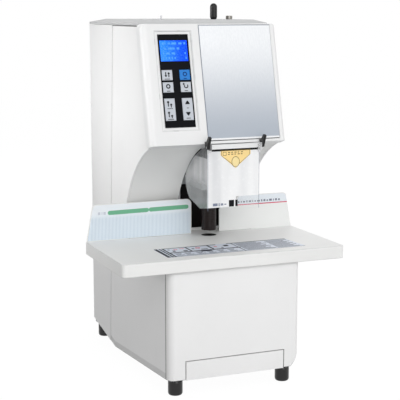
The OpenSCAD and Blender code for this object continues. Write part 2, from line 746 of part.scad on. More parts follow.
module guard_hood() {
    x1 = guard_left + guard_w;
    f = -face_front - 2;
    color([0.9, 0.92, 0.93, 0.4]) from_fence() difference() {
        union() {
            intersection() {
                union() {
                    guard_side(guard_left, guard_left + guard_t);
                    guard_side(x1 - guard_t, x1);
                }
                union() {
                    throat_space(throat_r - guard_gap, table_z, bw);
                    box([-bw, -200, hinge_z - 12], [bw, -hinge_front + 5, hinge_z + 6]);
                }
            }
            box([guard_left, f, guard_low], [x1, f + guard_t, hinge_z - 5.5]);
            for (x = [guard_left, x1 - guard_t])
                box([x, -hinge_front + 2, hinge_z - 12], [x + guard_t, f + guard_t, hinge_z - 8]);
        }
        rod_x(-bw, bw, -hinge_front, hinge_z, hinge_pin_d / 2 + run_fit);
    }
}

module guard_label() {
    xm = guard_left + guard_w / 2 + 3.5;
    y1 = -face_front - 2;
    color([0.98, 0.87, 0.6]) from_fence() along_y(y1 - 0.4, y1)
        polygon([[xm - 29, hinge_z - 6.5], [xm - 29, hinge_z - 15.5], [xm, hinge_z - 39.5],
            [xm + 29, hinge_z - 15.5], [xm + 29, hinge_z - 6.5]]);
}

module hinge_brackets() {
    y0 = -hinge_front;
    color([0.05, 0.05, 0.05]) from_fence() difference() {
        for (x = [guard_left - fit - bracket_t, guard_left + guard_w + fit])
        along_x(x, x + bracket_t) difference() {
            union() {
                polygon([[y0 - 3.2, hinge_z - 1.5], [y0 - 12, hinge_z + 18], [y0 - 7, hinge_z + 20],
                    [y0 + 1.5, hinge_z + 9.5], [-face_front + 14, hinge_z + 9.5],
                    [-face_front + 6, hinge_z + 1.5], [y0 + 1, hinge_z - 3.4]]);
                translate([y0, hinge_z]) circle(r = 3.6);
            }
            // The bracket's foot ends on the leaning face, below the silver panel, and its finger
            // leans forward above the hinge
            polygon([[face_y(hinge_z - 30), hinge_z - 30], [face_y(face_z + 1.2), face_z + 1.2],
                [face_y(face_z + 1.2) - 0.9, face_z + 1.2], [face_y(hinge_z + 40) - 0.9, hinge_z + 40],
                [60, hinge_z + 40], [60, hinge_z - 30]]);
        }
        rod_x(-bw, bw, y0, hinge_z, hinge_pin_d / 2);
    }
}

module hinge_pins() {
    x1 = guard_left + guard_w;
    reach = fit + bracket_t;
    r = hinge_pin_d / 2;
    color([0.7, 0.7, 0.72]) from_fence() {
        rod_x(guard_left - reach, guard_left + guard_t + 0.5, -hinge_front, hinge_z, r);
        rod_x(x1 - guard_t - 0.5, x1 + reach, -hinge_front, hinge_z, r);
    }
}

module press_sleeve() {
    z0 = table_z + sleeve_lift;
    r = sleeve_d / 2;
    ribs = floor((arm_z - z0 - 8) / rib_pitch);
    color([0.10, 0.08, 0.08]) from_fence() translate([drill_x, drill_y, z0]) rotate_extrude() difference() {
        union() {
            square([r - 0.8, arm_z - z0]);
            square([r, 4]);
            for (i = [0:ribs - 1]) translate([0, 5 + i * rib_pitch]) square([r, rib_pitch * 0.55]);
        }
        translate([0, 6]) square([sleeve_bore / 2, arm_z - z0]);
        translate([0, -1]) square([bit_d / 2 + 1.5, 20]);
    }
}

module press_arm() {
    bush = rod_d / 2 + 6;
    color([0.55, 0.56, 0.58]) from_fence() difference() {
        union() {
            box([drill_x - 20, drill_y - 16, arm_z], [drill_x + 20, rod_y + 8, arm_z + arm_h]);
            box([drill_x - rod_span / 2 - 6, rod_y - 12, arm_z],
                [drill_x + rod_span / 2 + 6, rod_y + 8, arm_z + arm_h]);
            box([rack_x - rack_w / 2, rod_y - 12, arm_z], [drill_x, rod_y - 0.5, arm_z + arm_h - 3]);
            for (s = [-1, 1]) rod_z(drill_x + s * rod_span / 2, rod_y, arm_z, arm_z + 28, bush);
        }
        rod_z(drill_x, drill_y, arm_z - 1, arm_z + 40, sleeve_bore / 2);
        for (s = [-1, 1])
            rod_z(drill_x + s * rod_span / 2, rod_y, arm_z - 1, arm_z + 40, rod_d / 2 + run_fit);
    }
}

module press_rack() {
    y1 = frame_y - pinion_r - 0.2;
    z0 = arm_z + arm_h - 3;
    z1 = pinion_z + 40;
    n = floor((z1 - z0 - 6) / 6);
    color([0.5, 0.5, 0.52]) from_fence() difference() {
        box([rack_x - rack_w / 2, rod_y - 8, z0], [rack_x + rack_w / 2, y1, z1]);
        for (i = [0:n - 1])
            box([rack_x - rack_w, y1 - 1.6, z0 + 6 + i * 6], [rack_x + rack_w, y1 + 1, z0 + 9 + i * 6]);
    }
}

module press_pinion() {
    r = pinion_r - 0.2;
    color([0.7, 0.6, 0.35]) from_fence()
    translate([rack_x - rack_w / 2, frame_y, pinion_z]) rotate([0, 90, 0]) {
        difference() {
            cylinder(r = r, h = rack_w);
            for (i = [0:11]) rotate([0, 0, i * 30]) translate([r - 1.6, -1.5, -1]) cube([3, 3, rack_w + 2]);
        }
        translate([0, 0, -26]) cylinder(r = 3, h = 27);
    }
}

module press_motor() {
    x1 = rack_x - rack_w / 2 - 4;
    color([0.35, 0.36, 0.38]) from_fence() difference() {
        union() {
            rod_x(x1 - 50, x1, frame_y, pinion_z, 17);
            box([x1 - 3, frame_y - 19, pinion_z - 19], [x1, frame_y + pinion_r + 4, pinion_z + 19]);
            box([x1 - 3, frame_y + pinion_r + 1, pinion_z - 19],
                [frame_left + 16, frame_y + pinion_r + 4, pinion_z + 19]);
            box([frame_left, frame_y + frame_t, pinion_z - 19],
                [frame_left + 16, frame_y + pinion_r + 4, pinion_z + 19]);
        }
        rod_x(x1 - 24, x1 + 1, frame_y, pinion_z, 3 + run_fit);
    }
}

module column_frame() {
    color([0.5, 0.52, 0.54]) from_fence() {
        box([frame_left, frame_y, pan_top], [frame_right, frame_y + frame_t, column_top]);
        box([frame_left, frame_y + frame_t, pan_top], [frame_right, frame_y + 48, pan_top + 6]);
        for (x = [frame_left, frame_right - frame_t]) along_x(x, x + frame_t)
            polygon([[frame_y + frame_t, pan_top + 6], [frame_y + 46, pan_top + 6],
                [frame_y + frame_t, pan_top + 120]]);
    }
}

module upper_bracket() {
    color([0.5, 0.52, 0.54]) from_fence() difference() {
        box([frame_left - 20, drill_y - 26, bracket_z],
            [frame_right, frame_y + frame_t, bracket_z + bracket_h]);
        for (s = [-1, 1]) rod_z(drill_x + s * rod_span / 2, rod_y, bracket_z - 1, bracket_z + 6, rod_d / 2);
        rod_z(drill_x, rod_y, bracket_z - 1, bracket_z + 20, screw_d / 2 + run_fit);
        rod_z(knob_x, drill_y, bracket_z - 1, bracket_z + 20, clear_rod_d / 2 + run_fit);
        rod_z(inlet_x, drill_y, bracket_z - 1, bracket_z + 20, inlet_bore / 2 + 1.5);
    }
}

module lower_bracket() {
    z1 = low_bracket_z + low_bracket_h;
    color([0.5, 0.52, 0.54]) from_fence() difference() {
        union() {
            box([frame_left, drill_y - 34, low_bracket_z], [frame_right, frame_y, z1]);
            for (x = [frame_left + 8, frame_right - 8]) rod_z(x, drill_y - 24, z1, table_z - table_wall, 6);
        }
        rod_z(drill_x, drill_y, low_bracket_z - 1, z1 + 1, 5);
        for (s = [-1, 1]) rod_z(drill_x + s * rod_span / 2, rod_y, z1 - 6, z1 + 1, rod_d / 2);
    }
}

module guide_rods() {
    color([0.8, 0.81, 0.83]) from_fence() for (s = [-1, 1])
        rod_z(drill_x + s * rod_span / 2, rod_y, low_bracket_z + low_bracket_h - 6, bracket_z + 6, rod_d / 2);
}

module lower_die() {
    color([0.6, 0.55, 0.45]) from_fence() difference() {
        union() {
            rod_z(drill_x, drill_y, low_bracket_z + low_bracket_h, table_z - 0.5 - pad_t, pad_d / 2 - 1);
            rod_z(drill_x, drill_y, low_bracket_z + low_bracket_h,
                low_bracket_z + low_bracket_h + 4, pad_d / 2 + 5);
        }
        rod_z(drill_x, drill_y, low_bracket_z, table_z, 5);
    }
}

module chip_chute() {
    color([0.6, 0.61, 0.62]) from_fence() difference() {
        union() {
            box([drill_x - 18, drill_y - 18, drawer_top + 3], [drill_x + 18, drill_y + 18, low_bracket_z]);
            box([drill_x - 28, drill_y - 22, low_bracket_z - sheet],
                [drill_x + 28, drill_y + 22, low_bracket_z]);
        }
        box([drill_x - 18 + sheet, drill_y - 18 + sheet, 0],
            [drill_x + 18 - sheet, drill_y + 18 - sheet, low_bracket_z + 1]);
    }
}

module carriage() {
    bush = rod_d / 2 + 6;
    color([0.58, 0.6, 0.62]) from_fence() difference() {
        union() {
            rod_z(drill_x, drill_y, head_z, plate_z, 22);
            box([drill_x - 14, drill_y, head_z + 20], [drill_x + 14, rod_y - 8, plate_z]);
            for (s = [-1, 1]) rod_z(drill_x + s * rod_span / 2, rod_y, head_z + 20, plate_z, bush);
            rod_z(drill_x, rod_y, head_z + 40, plate_z, screw_d / 2 + 6);
            box([motor_x - motor_r - 1, drill_y - motor_r, plate_z - 0.1],
                [drill_x + 40, drill_y + motor_r, plate_z + 8]);
            box([drill_x - rod_span / 2 - bush, drill_y, plate_z - 0.1],
                [drill_x + rod_span / 2 + bush, rod_y + bush, plate_z + 8]);
        }
        rod_z(drill_x, drill_y, head_z - 1, plate_z + 20, spindle_d / 2 + run_fit);
        rod_z(motor_x, drill_y, plate_z - 1, plate_z + 20, 6);
        rod_z(drill_x, rod_y, head_z, plate_z + 20, screw_d / 2 + 3);
        for (s = [-1, 1]) rod_z(drill_x + s * rod_span / 2, rod_y, head_z, plate_z + 20, rod_d / 2 + run_fit);
    }
}

module feed_nut() {
    color([0.75, 0.6, 0.3]) from_fence() difference() {
        union() {
            rod_z(drill_x, rod_y, head_z + 50, plate_z + 8, screw_d / 2 + 3);
            rod_z(drill_x, rod_y, plate_z + 8, plate_z + 12, screw_d / 2 + 5);
        }
        rod_z(drill_x, rod_y, head_z, plate_z + 20, screw_d / 2 + run_fit);
    }
}

module feed_screw() {
    color([0.72, 0.73, 0.75]) from_fence() {
        rod_z(drill_x, rod_y, head_z - 14, bracket_z + bracket_h, screw_d / 2);
        rod_z(drill_x, rod_y, bracket_z + bracket_h - 0.1, bracket_z + bracket_h + 20, 2.5);
    }
}

module feed_motor() {
    z0 = bracket_z + bracket_h;
    color([0.2, 0.2, 0.22]) from_fence() difference() {
        box([drill_x - 21, rod_y - 21, z0], [drill_x + 21, rod_y + 21, z0 + 33]);
        rod_z(drill_x, rod_y, z0 - 1, z0 + 22, 2.5 + run_fit);
    }
}

module drill_motor() {
    color([0.3, 0.31, 0.33]) from_fence() difference() {
        union() {
            rod_z(motor_x, drill_y, plate_z - 62, plate_z - 0.1, motor_r);
            rod_z(motor_x, drill_y, plate_z - 70, plate_z - 60, 9);
        }
        rod_z(motor_x, drill_y, plate_z - 40, plate_z + 10, 3 + run_fit);
    }
}

module motor_pulley() {
    z0 = plate_z + 15;
    color([0.7, 0.71, 0.73]) from_fence() {
        rod_z(motor_x, drill_y, z0, z0 + pulley_h, pulley_small_r - 0.4);
        rod_z(motor_x, drill_y, z0, z0 + 1.5, pulley_small_r + 1.5);
        rod_z(motor_x, drill_y, z0 + pulley_h - 1.5, z0 + pulley_h, pulley_small_r + 1.5);
        rod_z(motor_x, drill_y, plate_z - 38, z0 + 1, 3);
    }
}

// Outline of a belt loop round two pulleys at a distance d along -X
module belt_loop(big, small, d) {
    b = acos((big - small) / d);
    circle(r = big);
    translate([-d, 0]) circle(r = small);
    polygon([[-big * cos(b), big * sin(b)], [-d - small * cos(b), small * sin(b)],
        [-d - small * cos(b), -small * sin(b)], [-big * cos(b), -big * sin(b)]]);
}

module drive_belt() {
    z0 = plate_z + 15;
    color([0.06, 0.06, 0.06]) from_fence()
    translate([drill_x, drill_y, z0 + 2]) linear_extrude(pulley_h - 4) difference() {
        belt_loop(pulley_big_r + 1.5, pulley_small_r + 1.5, motor_offset);
        belt_loop(pulley_big_r, pulley_small_r, motor_offset);
    }
}

module drill_spindle() {
    z0 = plate_z + 15;
    chuck_low = arm_z - 5;
    color([0.72, 0.73, 0.75]) from_fence() difference() {
        union() {
            rod_z(drill_x, drill_y, head_z - 3, z0 + pulley_h, spindle_d / 2);
            rod_z(drill_x, drill_y, chuck_low, head_z - 1, spindle_d / 2 + 1);
            rod_z(drill_x, drill_y, z0, z0 + pulley_h, pulley_big_r - 0.4);
            rod_z(drill_x, drill_y, z0, z0 + 1.5, pulley_big_r + 1.5);
            rod_z(drill_x, drill_y, z0 + pulley_h - 1.5, z0 + pulley_h, pulley_big_r + 1.5);
        }
        rod_z(drill_x, drill_y, chuck_low - 1, chuck_low + 18, bit_d / 2);
        rod_z(drill_x, drill_y, chuck_low, z0 + 40, bit_bore / 2);
    }
}

module drill_bit() {
    z0 = table_z + sleeve_lift + 7;
    color([0.8, 0.8, 0.82]) from_fence() difference() {
        union() {
            rod_z(drill_x, drill_y, z0 + 2, arm_z + 13, bit_d / 2);
            translate([drill_x, drill_y, z0]) cylinder(r1 = bit_bore / 2 + 0.3, r2 = bit_d / 2, h = 2);
        }
        rod_z(drill_x, drill_y, z0 - 1, arm_z + 20, bit_bore / 2);
    }
}

module clearing_rod() {
    color([0.75, 0.75, 0.77]) from_fence()
        rod_z(knob_x, drill_y, bracket_z - 6, body_h + lid_rise + 8, clear_rod_d / 2);
}

module clearing_knob() {
    r = knob_d / 2;
    z0 = body_h + lid_rise + fit;
    color([0.04, 0.04, 0.04]) from_fence() difference() {
        union() {
            rod_z(knob_x, drill_y, z0 + 4, z0 + knob_h - r, r);
            translate([knob_x, drill_y, z0]) cylinder(r1 = r - 1.5, r2 = r, h = 4);
            translate([knob_x, drill_y, z0 + knob_h - r]) sphere(r = r);
        }
        rod_z(knob_x, drill_y, z0 - 1, body_h + lid_rise + 8, clear_rod_d / 2);
    }
}

module tube_inlet() {
    z0 = body_h + lid_rise;
    color([0.7, 0.71, 0.73]) from_fence() difference() {
        union() {
            rod_z(inlet_x, drill_y, bracket_z, z0 + inlet_h, inlet_bore / 2 + 1.5);
            rod_z(inlet_x, drill_y, z0, z0 + inlet_h, inlet_d / 2 - 0.5);
            for (i = [0:2]) rod_z(inlet_x, drill_y, z0 + i * 2.4, z0 + i * 2.4 + 1.6, inlet_d / 2);
        }
        rod_z(inlet_x, drill_y, bracket_z - 1, z0 + 20, inlet_bore / 2);
    }
}

module top_peg() {
    z0 = body_h + lid_rise;
    color([0.7, 0.71, 0.72]) from_fence() {
        rod_z(-peg_x, 0, z0 - wall, z0 + peg_h, peg_d / 2);
        rod_z(-peg_x, 0, z0 - wall - 2, z0 - wall, peg_d / 2 + 2);
    }
}

module drawer_runners() {
    dx = drawer_w / 2 - 5;
    color([0.62, 0.63, 0.64]) from_fence() for (s = [-1, 1]) {
        box([min(s * (dx - 10), s * (dx + 2.4)), -base_front + 8, pan_top],
            [max(s * (dx - 10), s * (dx + 2.4)), -base_front + drawer_depth, pan_top + sheet]);
        box([min(s * (dx + 0.4), s * (dx + 2.4)), -base_front + 8, pan_top],
            [max(s * (dx + 0.4), s * (dx + 2.4)), -base_front + drawer_depth, pan_top + 16]);
    }
    color([0.62, 0.63, 0.64]) from_fence() box([-dx + 10, -base_front + drawer_depth + 4, pan_top],
        [dx - 10, -base_front + drawer_depth + 6, pan_top + 16]);
}

module scrap_drawer() {
    dx = drawer_w / 2 - 5;
    z0 = pan_top + sheet + fit;
    y0 = -base_front;
    y1 = -base_front + drawer_depth;
    z1 = drawer_top - 4;
    color([0.92, 0.92, 0.91]) from_fence() difference() {
        union() {
            box([-drawer_w / 2, y0, foot_h + 1], [drawer_w / 2, y0 + wall, drawer_top]);
            box([-dx, y0 + wall - 0.1, z0], [dx, y1, z1]);
        }
        box([-dx + drawer_wall, y0 + wall + drawer_wall, z0 + drawer_wall],
            [dx - drawer_wall, y1 - drawer_wall, z1 + 20]);
        // Finger recess under the front
        box([-30, y0 + 1.2, foot_h], [30, y0 + wall + 1, z0 - 0.1]);
    }
}

module power_unit() {
    color([0.66, 0.67, 0.68]) from_fence() {
        box([-bw + 14, 112, pan_top], [-40, 208, pan_top + 58]);
        for (y = [118, 196]) box([-40, y, pan_top], [-30, y + 8, pan_top + 2]);
    }
}

module power_socket() {
    y1 = body_rear - 0.6;
    color([0.05, 0.05, 0.05]) from_fence() difference() {
        union() {
            box([socket_x + 0.2, y1 - 20, socket_z + 0.2],
                [socket_x + socket_w - 0.2, y1, socket_z + socket_h - 0.2]);
            box([socket_x - 8, body_rear - wall - 2, socket_z - 3],
                [socket_x + socket_w + 8, body_rear - wall, socket_z + socket_h + 3]);
        }
        box([socket_x + 3, y1 - 16, socket_z + 3],
            [socket_x + socket_w - 3, y1 + 1, socket_z + socket_h - 3]);
    }
    color([0.8, 0.7, 0.4]) from_fence() for (p = [[-7, -2], [0, 2.5], [7, -2]])
        box([socket_x + socket_w / 2 + p[0] - 1, y1 - 16.1, socket_z + socket_h / 2 + p[1] - 2],
            [socket_x + socket_w / 2 + p[0] + 1, y1 - 5, socket_z + socket_h / 2 + p[1] + 2]);
}

module power_switch() {
    y1 = body_rear - 0.6;
    color([0.05, 0.05, 0.05]) from_fence() difference() {
        union() {
            box([switch_x + 0.2, y1 - 14, socket_z + 0.2],
                [switch_x + switch_w - 0.2, y1, socket_z + switch_h - 0.2]);
            box([switch_x - 3, body_rear - wall - 2, socket_z - 3],
                [switch_x + switch_w + 3, body_rear - wall, socket_z + switch_h + 3]);
        }
        box([switch_x + 2, y1 - 9, socket_z + 2], [switch_x + switch_w - 2, y1 + 1, socket_z + switch_h - 2]);
        rod_x(switch_x + 0.8, switch_x + switch_w - 0.8, y1 - 4.5, socket_z + switch_h / 2,
            rocker_pin_r + run_fit);
    }
}

// Rocker of the switch, tilting about a pin across its middle
module switch_rocker() {
    py = body_rear - 0.6 - 4.5;
    pz = socket_z + switch_h / 2;
    a = switch_h / 2 - 3;
    color([0.08, 0.08, 0.08]) from_fence() {
        along_x(switch_x + 2.3, switch_x + switch_w - 2.3) polygon([[py - 3, pz - a + 3], [py + 2.6, pz - a],
            [py + 1.6, pz], [py + 2.6, pz + a], [py - 3, pz + a - 3]]);
        rod_x(switch_x + 1, switch_x + switch_w - 1, py, pz, rocker_pin_r);
    }
}

floor_pan();
rubber_feet();
corner_posts();
front_cover();
side_panel_left();
side_panel_right();
rear_cover();
top_cover();
throat_liner();
head_moulding();
face_panel();
keypad_overlay();
display_window();
display_module();
key_board();
key_up();
key_start();
key_set();
key_return();
key_mode();
key_adjust();
table_tray();
cutting_pad();
fence_left();
fence_right();
guard_hood();
guard_label();
hinge_brackets();
hinge_pins();
press_sleeve();
press_arm();
press_rack();
press_pinion();
press_motor();
column_frame();
upper_bracket();
lower_bracket();
guide_rods();
lower_die();
carriage();
feed_nut();
feed_screw();
feed_motor();
drill_motor();
motor_pulley();
drive_belt();
drill_spindle();
drill_bit();
clearing_rod();
clearing_knob();
tube_inlet();
top_peg();
chip_chute();
drawer_runners();
scrap_drawer();
power_unit();
power_socket();
power_switch();
switch_rocker();
cover_screws();
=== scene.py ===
import json
import math

import bmesh
import bpy
from bpy.props import FloatProperty, FloatVectorProperty, IntProperty, PointerProperty
from mathutils import Matrix, Vector

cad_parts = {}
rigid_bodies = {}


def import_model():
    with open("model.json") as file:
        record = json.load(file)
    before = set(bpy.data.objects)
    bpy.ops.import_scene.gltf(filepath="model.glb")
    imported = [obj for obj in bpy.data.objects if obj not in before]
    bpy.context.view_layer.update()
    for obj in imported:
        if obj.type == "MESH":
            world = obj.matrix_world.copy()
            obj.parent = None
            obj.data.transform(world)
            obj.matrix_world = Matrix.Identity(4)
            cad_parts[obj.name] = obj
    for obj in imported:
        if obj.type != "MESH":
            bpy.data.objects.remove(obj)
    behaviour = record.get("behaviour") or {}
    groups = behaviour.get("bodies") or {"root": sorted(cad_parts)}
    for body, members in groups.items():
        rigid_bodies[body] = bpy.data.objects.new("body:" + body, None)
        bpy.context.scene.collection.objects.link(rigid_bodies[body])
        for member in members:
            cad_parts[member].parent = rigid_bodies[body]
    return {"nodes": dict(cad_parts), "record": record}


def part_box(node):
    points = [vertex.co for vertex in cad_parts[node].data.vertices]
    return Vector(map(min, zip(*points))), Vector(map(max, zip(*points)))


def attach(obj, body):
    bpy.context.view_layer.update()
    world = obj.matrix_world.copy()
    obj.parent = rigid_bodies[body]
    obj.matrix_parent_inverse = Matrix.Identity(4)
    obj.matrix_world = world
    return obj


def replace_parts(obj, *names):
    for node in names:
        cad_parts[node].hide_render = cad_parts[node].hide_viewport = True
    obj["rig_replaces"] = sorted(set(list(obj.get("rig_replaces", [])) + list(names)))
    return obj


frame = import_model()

bl_info = {
    "name": "Paper riveting machine",
    "version": (1, 0, 0),
    "blender": (4, 5, 0),
    "location": "3D View > Sidebar > Riveter",
    "description": "Dresses the packed riveting machine with its pieces, prints and finishes",
    "category": "Object",
}

BODY_OF = {node: body for body, nodes in frame["record"]["behaviour"]["bodies"].items() for node in nodes}
SLOT_OF = {part["node"]: part["material_slot"] for part in frame["record"]["subparts"]}
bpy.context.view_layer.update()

# The fence line and the leaning face are the two frames that prints are drawn in, in millimetres.
LEAN = 13.6
FENCE_LINE = Matrix.Translation((0, -0.01815, 0)) @ Matrix.Scale(0.001, 4)
LEANING_FACE = (
    Matrix.Translation((0, -0.14915, 0.436))
    @ Matrix.Rotation(math.radians(-LEAN), 4, "X")
    @ Matrix.Scale(0.001, 4)
)

# In the fence line's frame: height of the table, and how far the guard's front stands ahead.
TABLE_TOP, GUARD_FRONT = 247.0, 133.0

# In the leaning face's frame: middle of the silver panel, depth of the keys' rounded fronts, how far their
# signs stand ahead, limits of the head's foot, and limits of the recess round the keypad.
PANEL_MIDDLE = 47.0
KEY_FRONT, KEY_SIGN = 2.0, -1.3
FOOT_TOP, FOOT_DEPTH = -8.3, 13.0
RECESS_LEFT, RECESS_RIGHT, RECESS_LOW, RECESS_HIGH = -106.0, -37.0, 20.0, 200.0

# Foot edge of a side panel, in metres: lowest at one depth, rising ahead of it and behind it.
FOLD_DEPTH, FOLD_LOW = 0.0768, 0.0129
FOLD_RISE_AHEAD, FOLD_RISE_BEHIND = 0.0642, 0.190
# Heights above that foot edge over which the painted shade band along the foot fades out.
FOOT_SHADE_BAND = (0.0105, 0.0135)

# Faces that meet at more than this many degrees keep a sharp line between them.
SHARP_ANGLE = 38.0
# Edges shorter than these stay out of some bevels, which the shortest edge would narrow everywhere.
TINY_EDGE, SHORT_EDGE = 0.0004, 0.02

# Each lamp's name, place, aim, size in metres, power in watts and spread in degrees.
LAMPS = (
    ("key_lamp", (-0.5, -2.6, 1.9), (0.0, -0.1, 0.35), 2.4, 33.0, 180.0),
    ("side_lamp", (-1.6, 0.05, 0.75), (-0.12, 0.05, 0.525), 0.5, 0.33, 19.0),
    ("low_lamp", (0.1, -2.2, 0.25), (0.0, 0.0, 0.42), 1.2, 7.5, 180.0),
    ("fill_lamp", (2.4, -1.6, 1.4), (0.0, 0.0, 0.35), 1.8, 12.0, 180.0),
    ("rear_lamp", (0.8, 2.6, 1.8), (0.0, 0.1, 0.4), 2.0, 14.0, 180.0),
)
# Light from all round, the floor's size with its glow and the glow's share, and the camera.
SURROUND_LIGHT = 0.51
FLOOR_SIZE, FLOOR_GLOW, FLOOR_SHARE = 6.0, 1.075, 0.90
CAMERA_PLACE = (-0.7962, -1.97295, 0.6627)
CAMERA_TILT, CAMERA_TURN = 80.544, -22.55
CAMERA_LENS, CAMERA_SENSOR = 102.28, 36.0
WHITE = (1.0, 1.0, 1.0, 1.0)
EVEN = (1.0, 1.0, 1.0)


# ---------------------------------------------------------------- sizes and colours


def length(name, text, value):
    return FloatProperty(name=name, description=text, default=value, unit="LENGTH", precision=5)


def paint(name, text, red, green, blue):
    return FloatVectorProperty(
        name=name, description=text, default=(red, green, blue), subtype="COLOR_GAMMA", min=0.0, max=1.0
    )


class RiveterSizes(bpy.types.PropertyGroup):
    cover_edge: length("Cover edges", "Width of the broken edges of the covers", 0.0012)
    sheet_edge: length("Sheet edges", "Width of the broken edges of sheet parts", 0.0004)
    key_edge: length("Key edges", "Width of the rounded edges of the keys", 0.0006)
    moulding_foot: length("Moulding foot", "Radius at the foot of the head's moulding", 0.0065)
    recess_slope: length("Recess slope", "Width of the sloped sides of the keypad's recess", 0.0026)
    print_height: length("Print height", "Thickness of a printed mark", 0.00008)
    scale_pitch: length("Scale pitch", "Distance between the scale lines on the left fence", 0.0027)
    knurl_count: IntProperty(
        name="Knurl count", description="Number of ridges round the metal collar", default=30, min=8, max=60
    )


class RiveterColours(bpy.types.PropertyGroup):
    body: paint("Body", "Painted covers", 0.94, 0.94, 0.94)
    moulding: paint("Moulding", "Moulded front of the head", 0.915, 0.917, 0.918)
    # The lid is the body's white paint; this grey is painted shade on its slopes.
    lid: paint("Lid", "Lid of the body", 0.80, 0.803, 0.806)
    liner: paint("Liner", "Curved liner of the throat", 0.93, 0.93, 0.925)
    table: paint("Table", "Paint of the table", 0.925, 0.926, 0.922)
    fence: paint("Fences", "Paint of both fences", 0.93, 0.935, 0.93)
    scale: paint("Scale sheet", "Ground of the sheet on the left fence", 0.875, 0.915, 0.945)
    pill: paint("Scale bars", "Green bars of the scale sheet", 0.45, 0.71, 0.57)
    # Painted reflection on the silver panel: blue-grey near its foot, near white near its top.
    panel_foot_reflection: paint("Panel foot", "Silver panel near its foot", 0.66, 0.69, 0.73)
    panel_top_reflection: paint("Panel top", "Silver panel near its top", 0.925, 0.933, 0.943)
    overlay: paint("Overlay", "Black keypad overlay", 0.02, 0.025, 0.045)
    display: paint("Display", "Lit display", 0.0, 0.22, 0.93)
    key: paint("Keys", "Grey keys", 0.76, 0.78, 0.81)
    start: paint("Start key", "Blue key", 0.07, 0.47, 0.80)
    label: paint("Guard label", "Amber film on the guard", 0.985, 0.875, 0.61)
    sleeve: paint("Press sleeve", "Ribbed press sleeve", 0.095, 0.055, 0.048)
    rubber: paint("Rubber", "Feet and drive belt", 0.045, 0.045, 0.048)


# ---------------------------------------------------------------- finishes


def light(colour):
    """A display colour as the linear numbers that a shader's socket holds."""
    return tuple(c / 12.92 if c <= 0.04045 else ((c + 0.055) / 1.055) ** 2.4 for c in colour[:3]) + (1.0,)


def shade(colour, factor):
    """A colour made darker or lighter, in linear numbers."""
    return tuple(min(1.0, c * factor) for c in light(colour)[:3]) + (1.0,)


class Field:
    """A socket in a finish's node tree. Arithmetic on it adds Math nodes."""

    def __init__(self, finish, socket):
        self.finish, self.socket = finish, socket

    def math(self, operation, first, second=0.0):
        return self.finish.node("ShaderNodeMath", {"operation": operation}, {0: first, 1: second})

    def __add__(self, other):
        return self.math("ADD", self, other)

    def __radd__(self, other):
        return self.math("ADD", other, self)

    def __sub__(self, other):
        return self.math("SUBTRACT", self, other)

    def __rsub__(self, other):
        return self.math("SUBTRACT", other, self)

    def __mul__(self, other):
        return self.math("MULTIPLY", self, other)

    def __rmul__(self, other):
        return self.math("MULTIPLY", other, self)

    def wave(self):
        return self.math("SINE", self)

    def over(self, limit):
        return self.math("GREATER_THAN", self, limit)

    def under(self, limit):
        return self.math("LESS_THAN", self, limit)

    def larger(self, other):
        return self.math("MAXIMUM", self, other)

    def span(self, low, high):
        """0 at low, 1 at high, smooth between them."""
        return self.finish.node(
            "ShaderNodeMapRange",
            {"interpolation_type": "SMOOTHSTEP", "clamp": True},
            {0: self, 1: low, 2: high, 3: 0.0, 4: 1.0},
        )


class Finish:
    """A material with one surface shader, and the fields that feed it."""

    def __init__(self, name, **constants):
        self.material = bpy.data.materials.new(name)
        self.material.use_nodes = True
        self.tree = self.material.node_tree
        self.shader = self.tree.nodes["Principled BSDF"]
        self.spot = None
        for socket, value in constants.items():
            self.shader.inputs[socket.replace("_", " ")].default_value = value

    def node(self, kind, settings=None, values=None, output=0):
        made = self.tree.nodes.new(kind)
        for name, value in (settings or {}).items():
            setattr(made, name, value)
        for key, value in (values or {}).items():
            if isinstance(value, Field):
                self.tree.links.new(value.socket, made.inputs[key])
            else:
                made.inputs[key].default_value = value
        return Field(self, made.outputs[output])

    def place(self):
        if self.spot is None:
            self.spot = self.node("ShaderNodeTexCoord", output="Object")
        return self.spot

    def axis(self, index):
        """X, Y or Z of the place, in metres."""
        return self.node("ShaderNodeSeparateXYZ", values={0: self.place()}, output=index)

    def noise(self, scale, detail=2.0, stretch=EVEN):
        spot = self.place()
        if stretch != EVEN:
            spot = self.node("ShaderNodeMapping", values={"Vector": spot, "Scale": stretch})
        return self.node("ShaderNodeTexNoise", values={"Vector": spot, "Scale": scale, "Detail": detail})

    def bevel_mask(self):
        """1 on broken edges, 0 elsewhere."""
        return self.node("ShaderNodeAttribute", {"attribute_name": "bevel_faces"}, output="Fac")

    def mix(self, factor, low, high):
        return self.node("ShaderNodeMix", {"data_type": "RGBA"}, {0: factor, 6: low, 7: high}, output=2)

    def bump(self, height, strength, depth):
        return self.node("ShaderNodeBump", values={"Height": height, "Strength": strength, "Distance": depth})

    def feed(self, **fields):
        """Links the fields to the surface shader and gives the material back."""
        for name, field in fields.items():
            self.tree.links.new(field.socket, self.shader.inputs[name.replace("_", " ").title()])
        return self.material


def fold_line(f):
    """Height of a side panel's foot edge at each depth."""
    behind = f.axis(1) - FOLD_DEPTH
    return (FOLD_LOW - behind * FOLD_RISE_AHEAD).larger(FOLD_LOW + behind * FOLD_RISE_BEHIND)


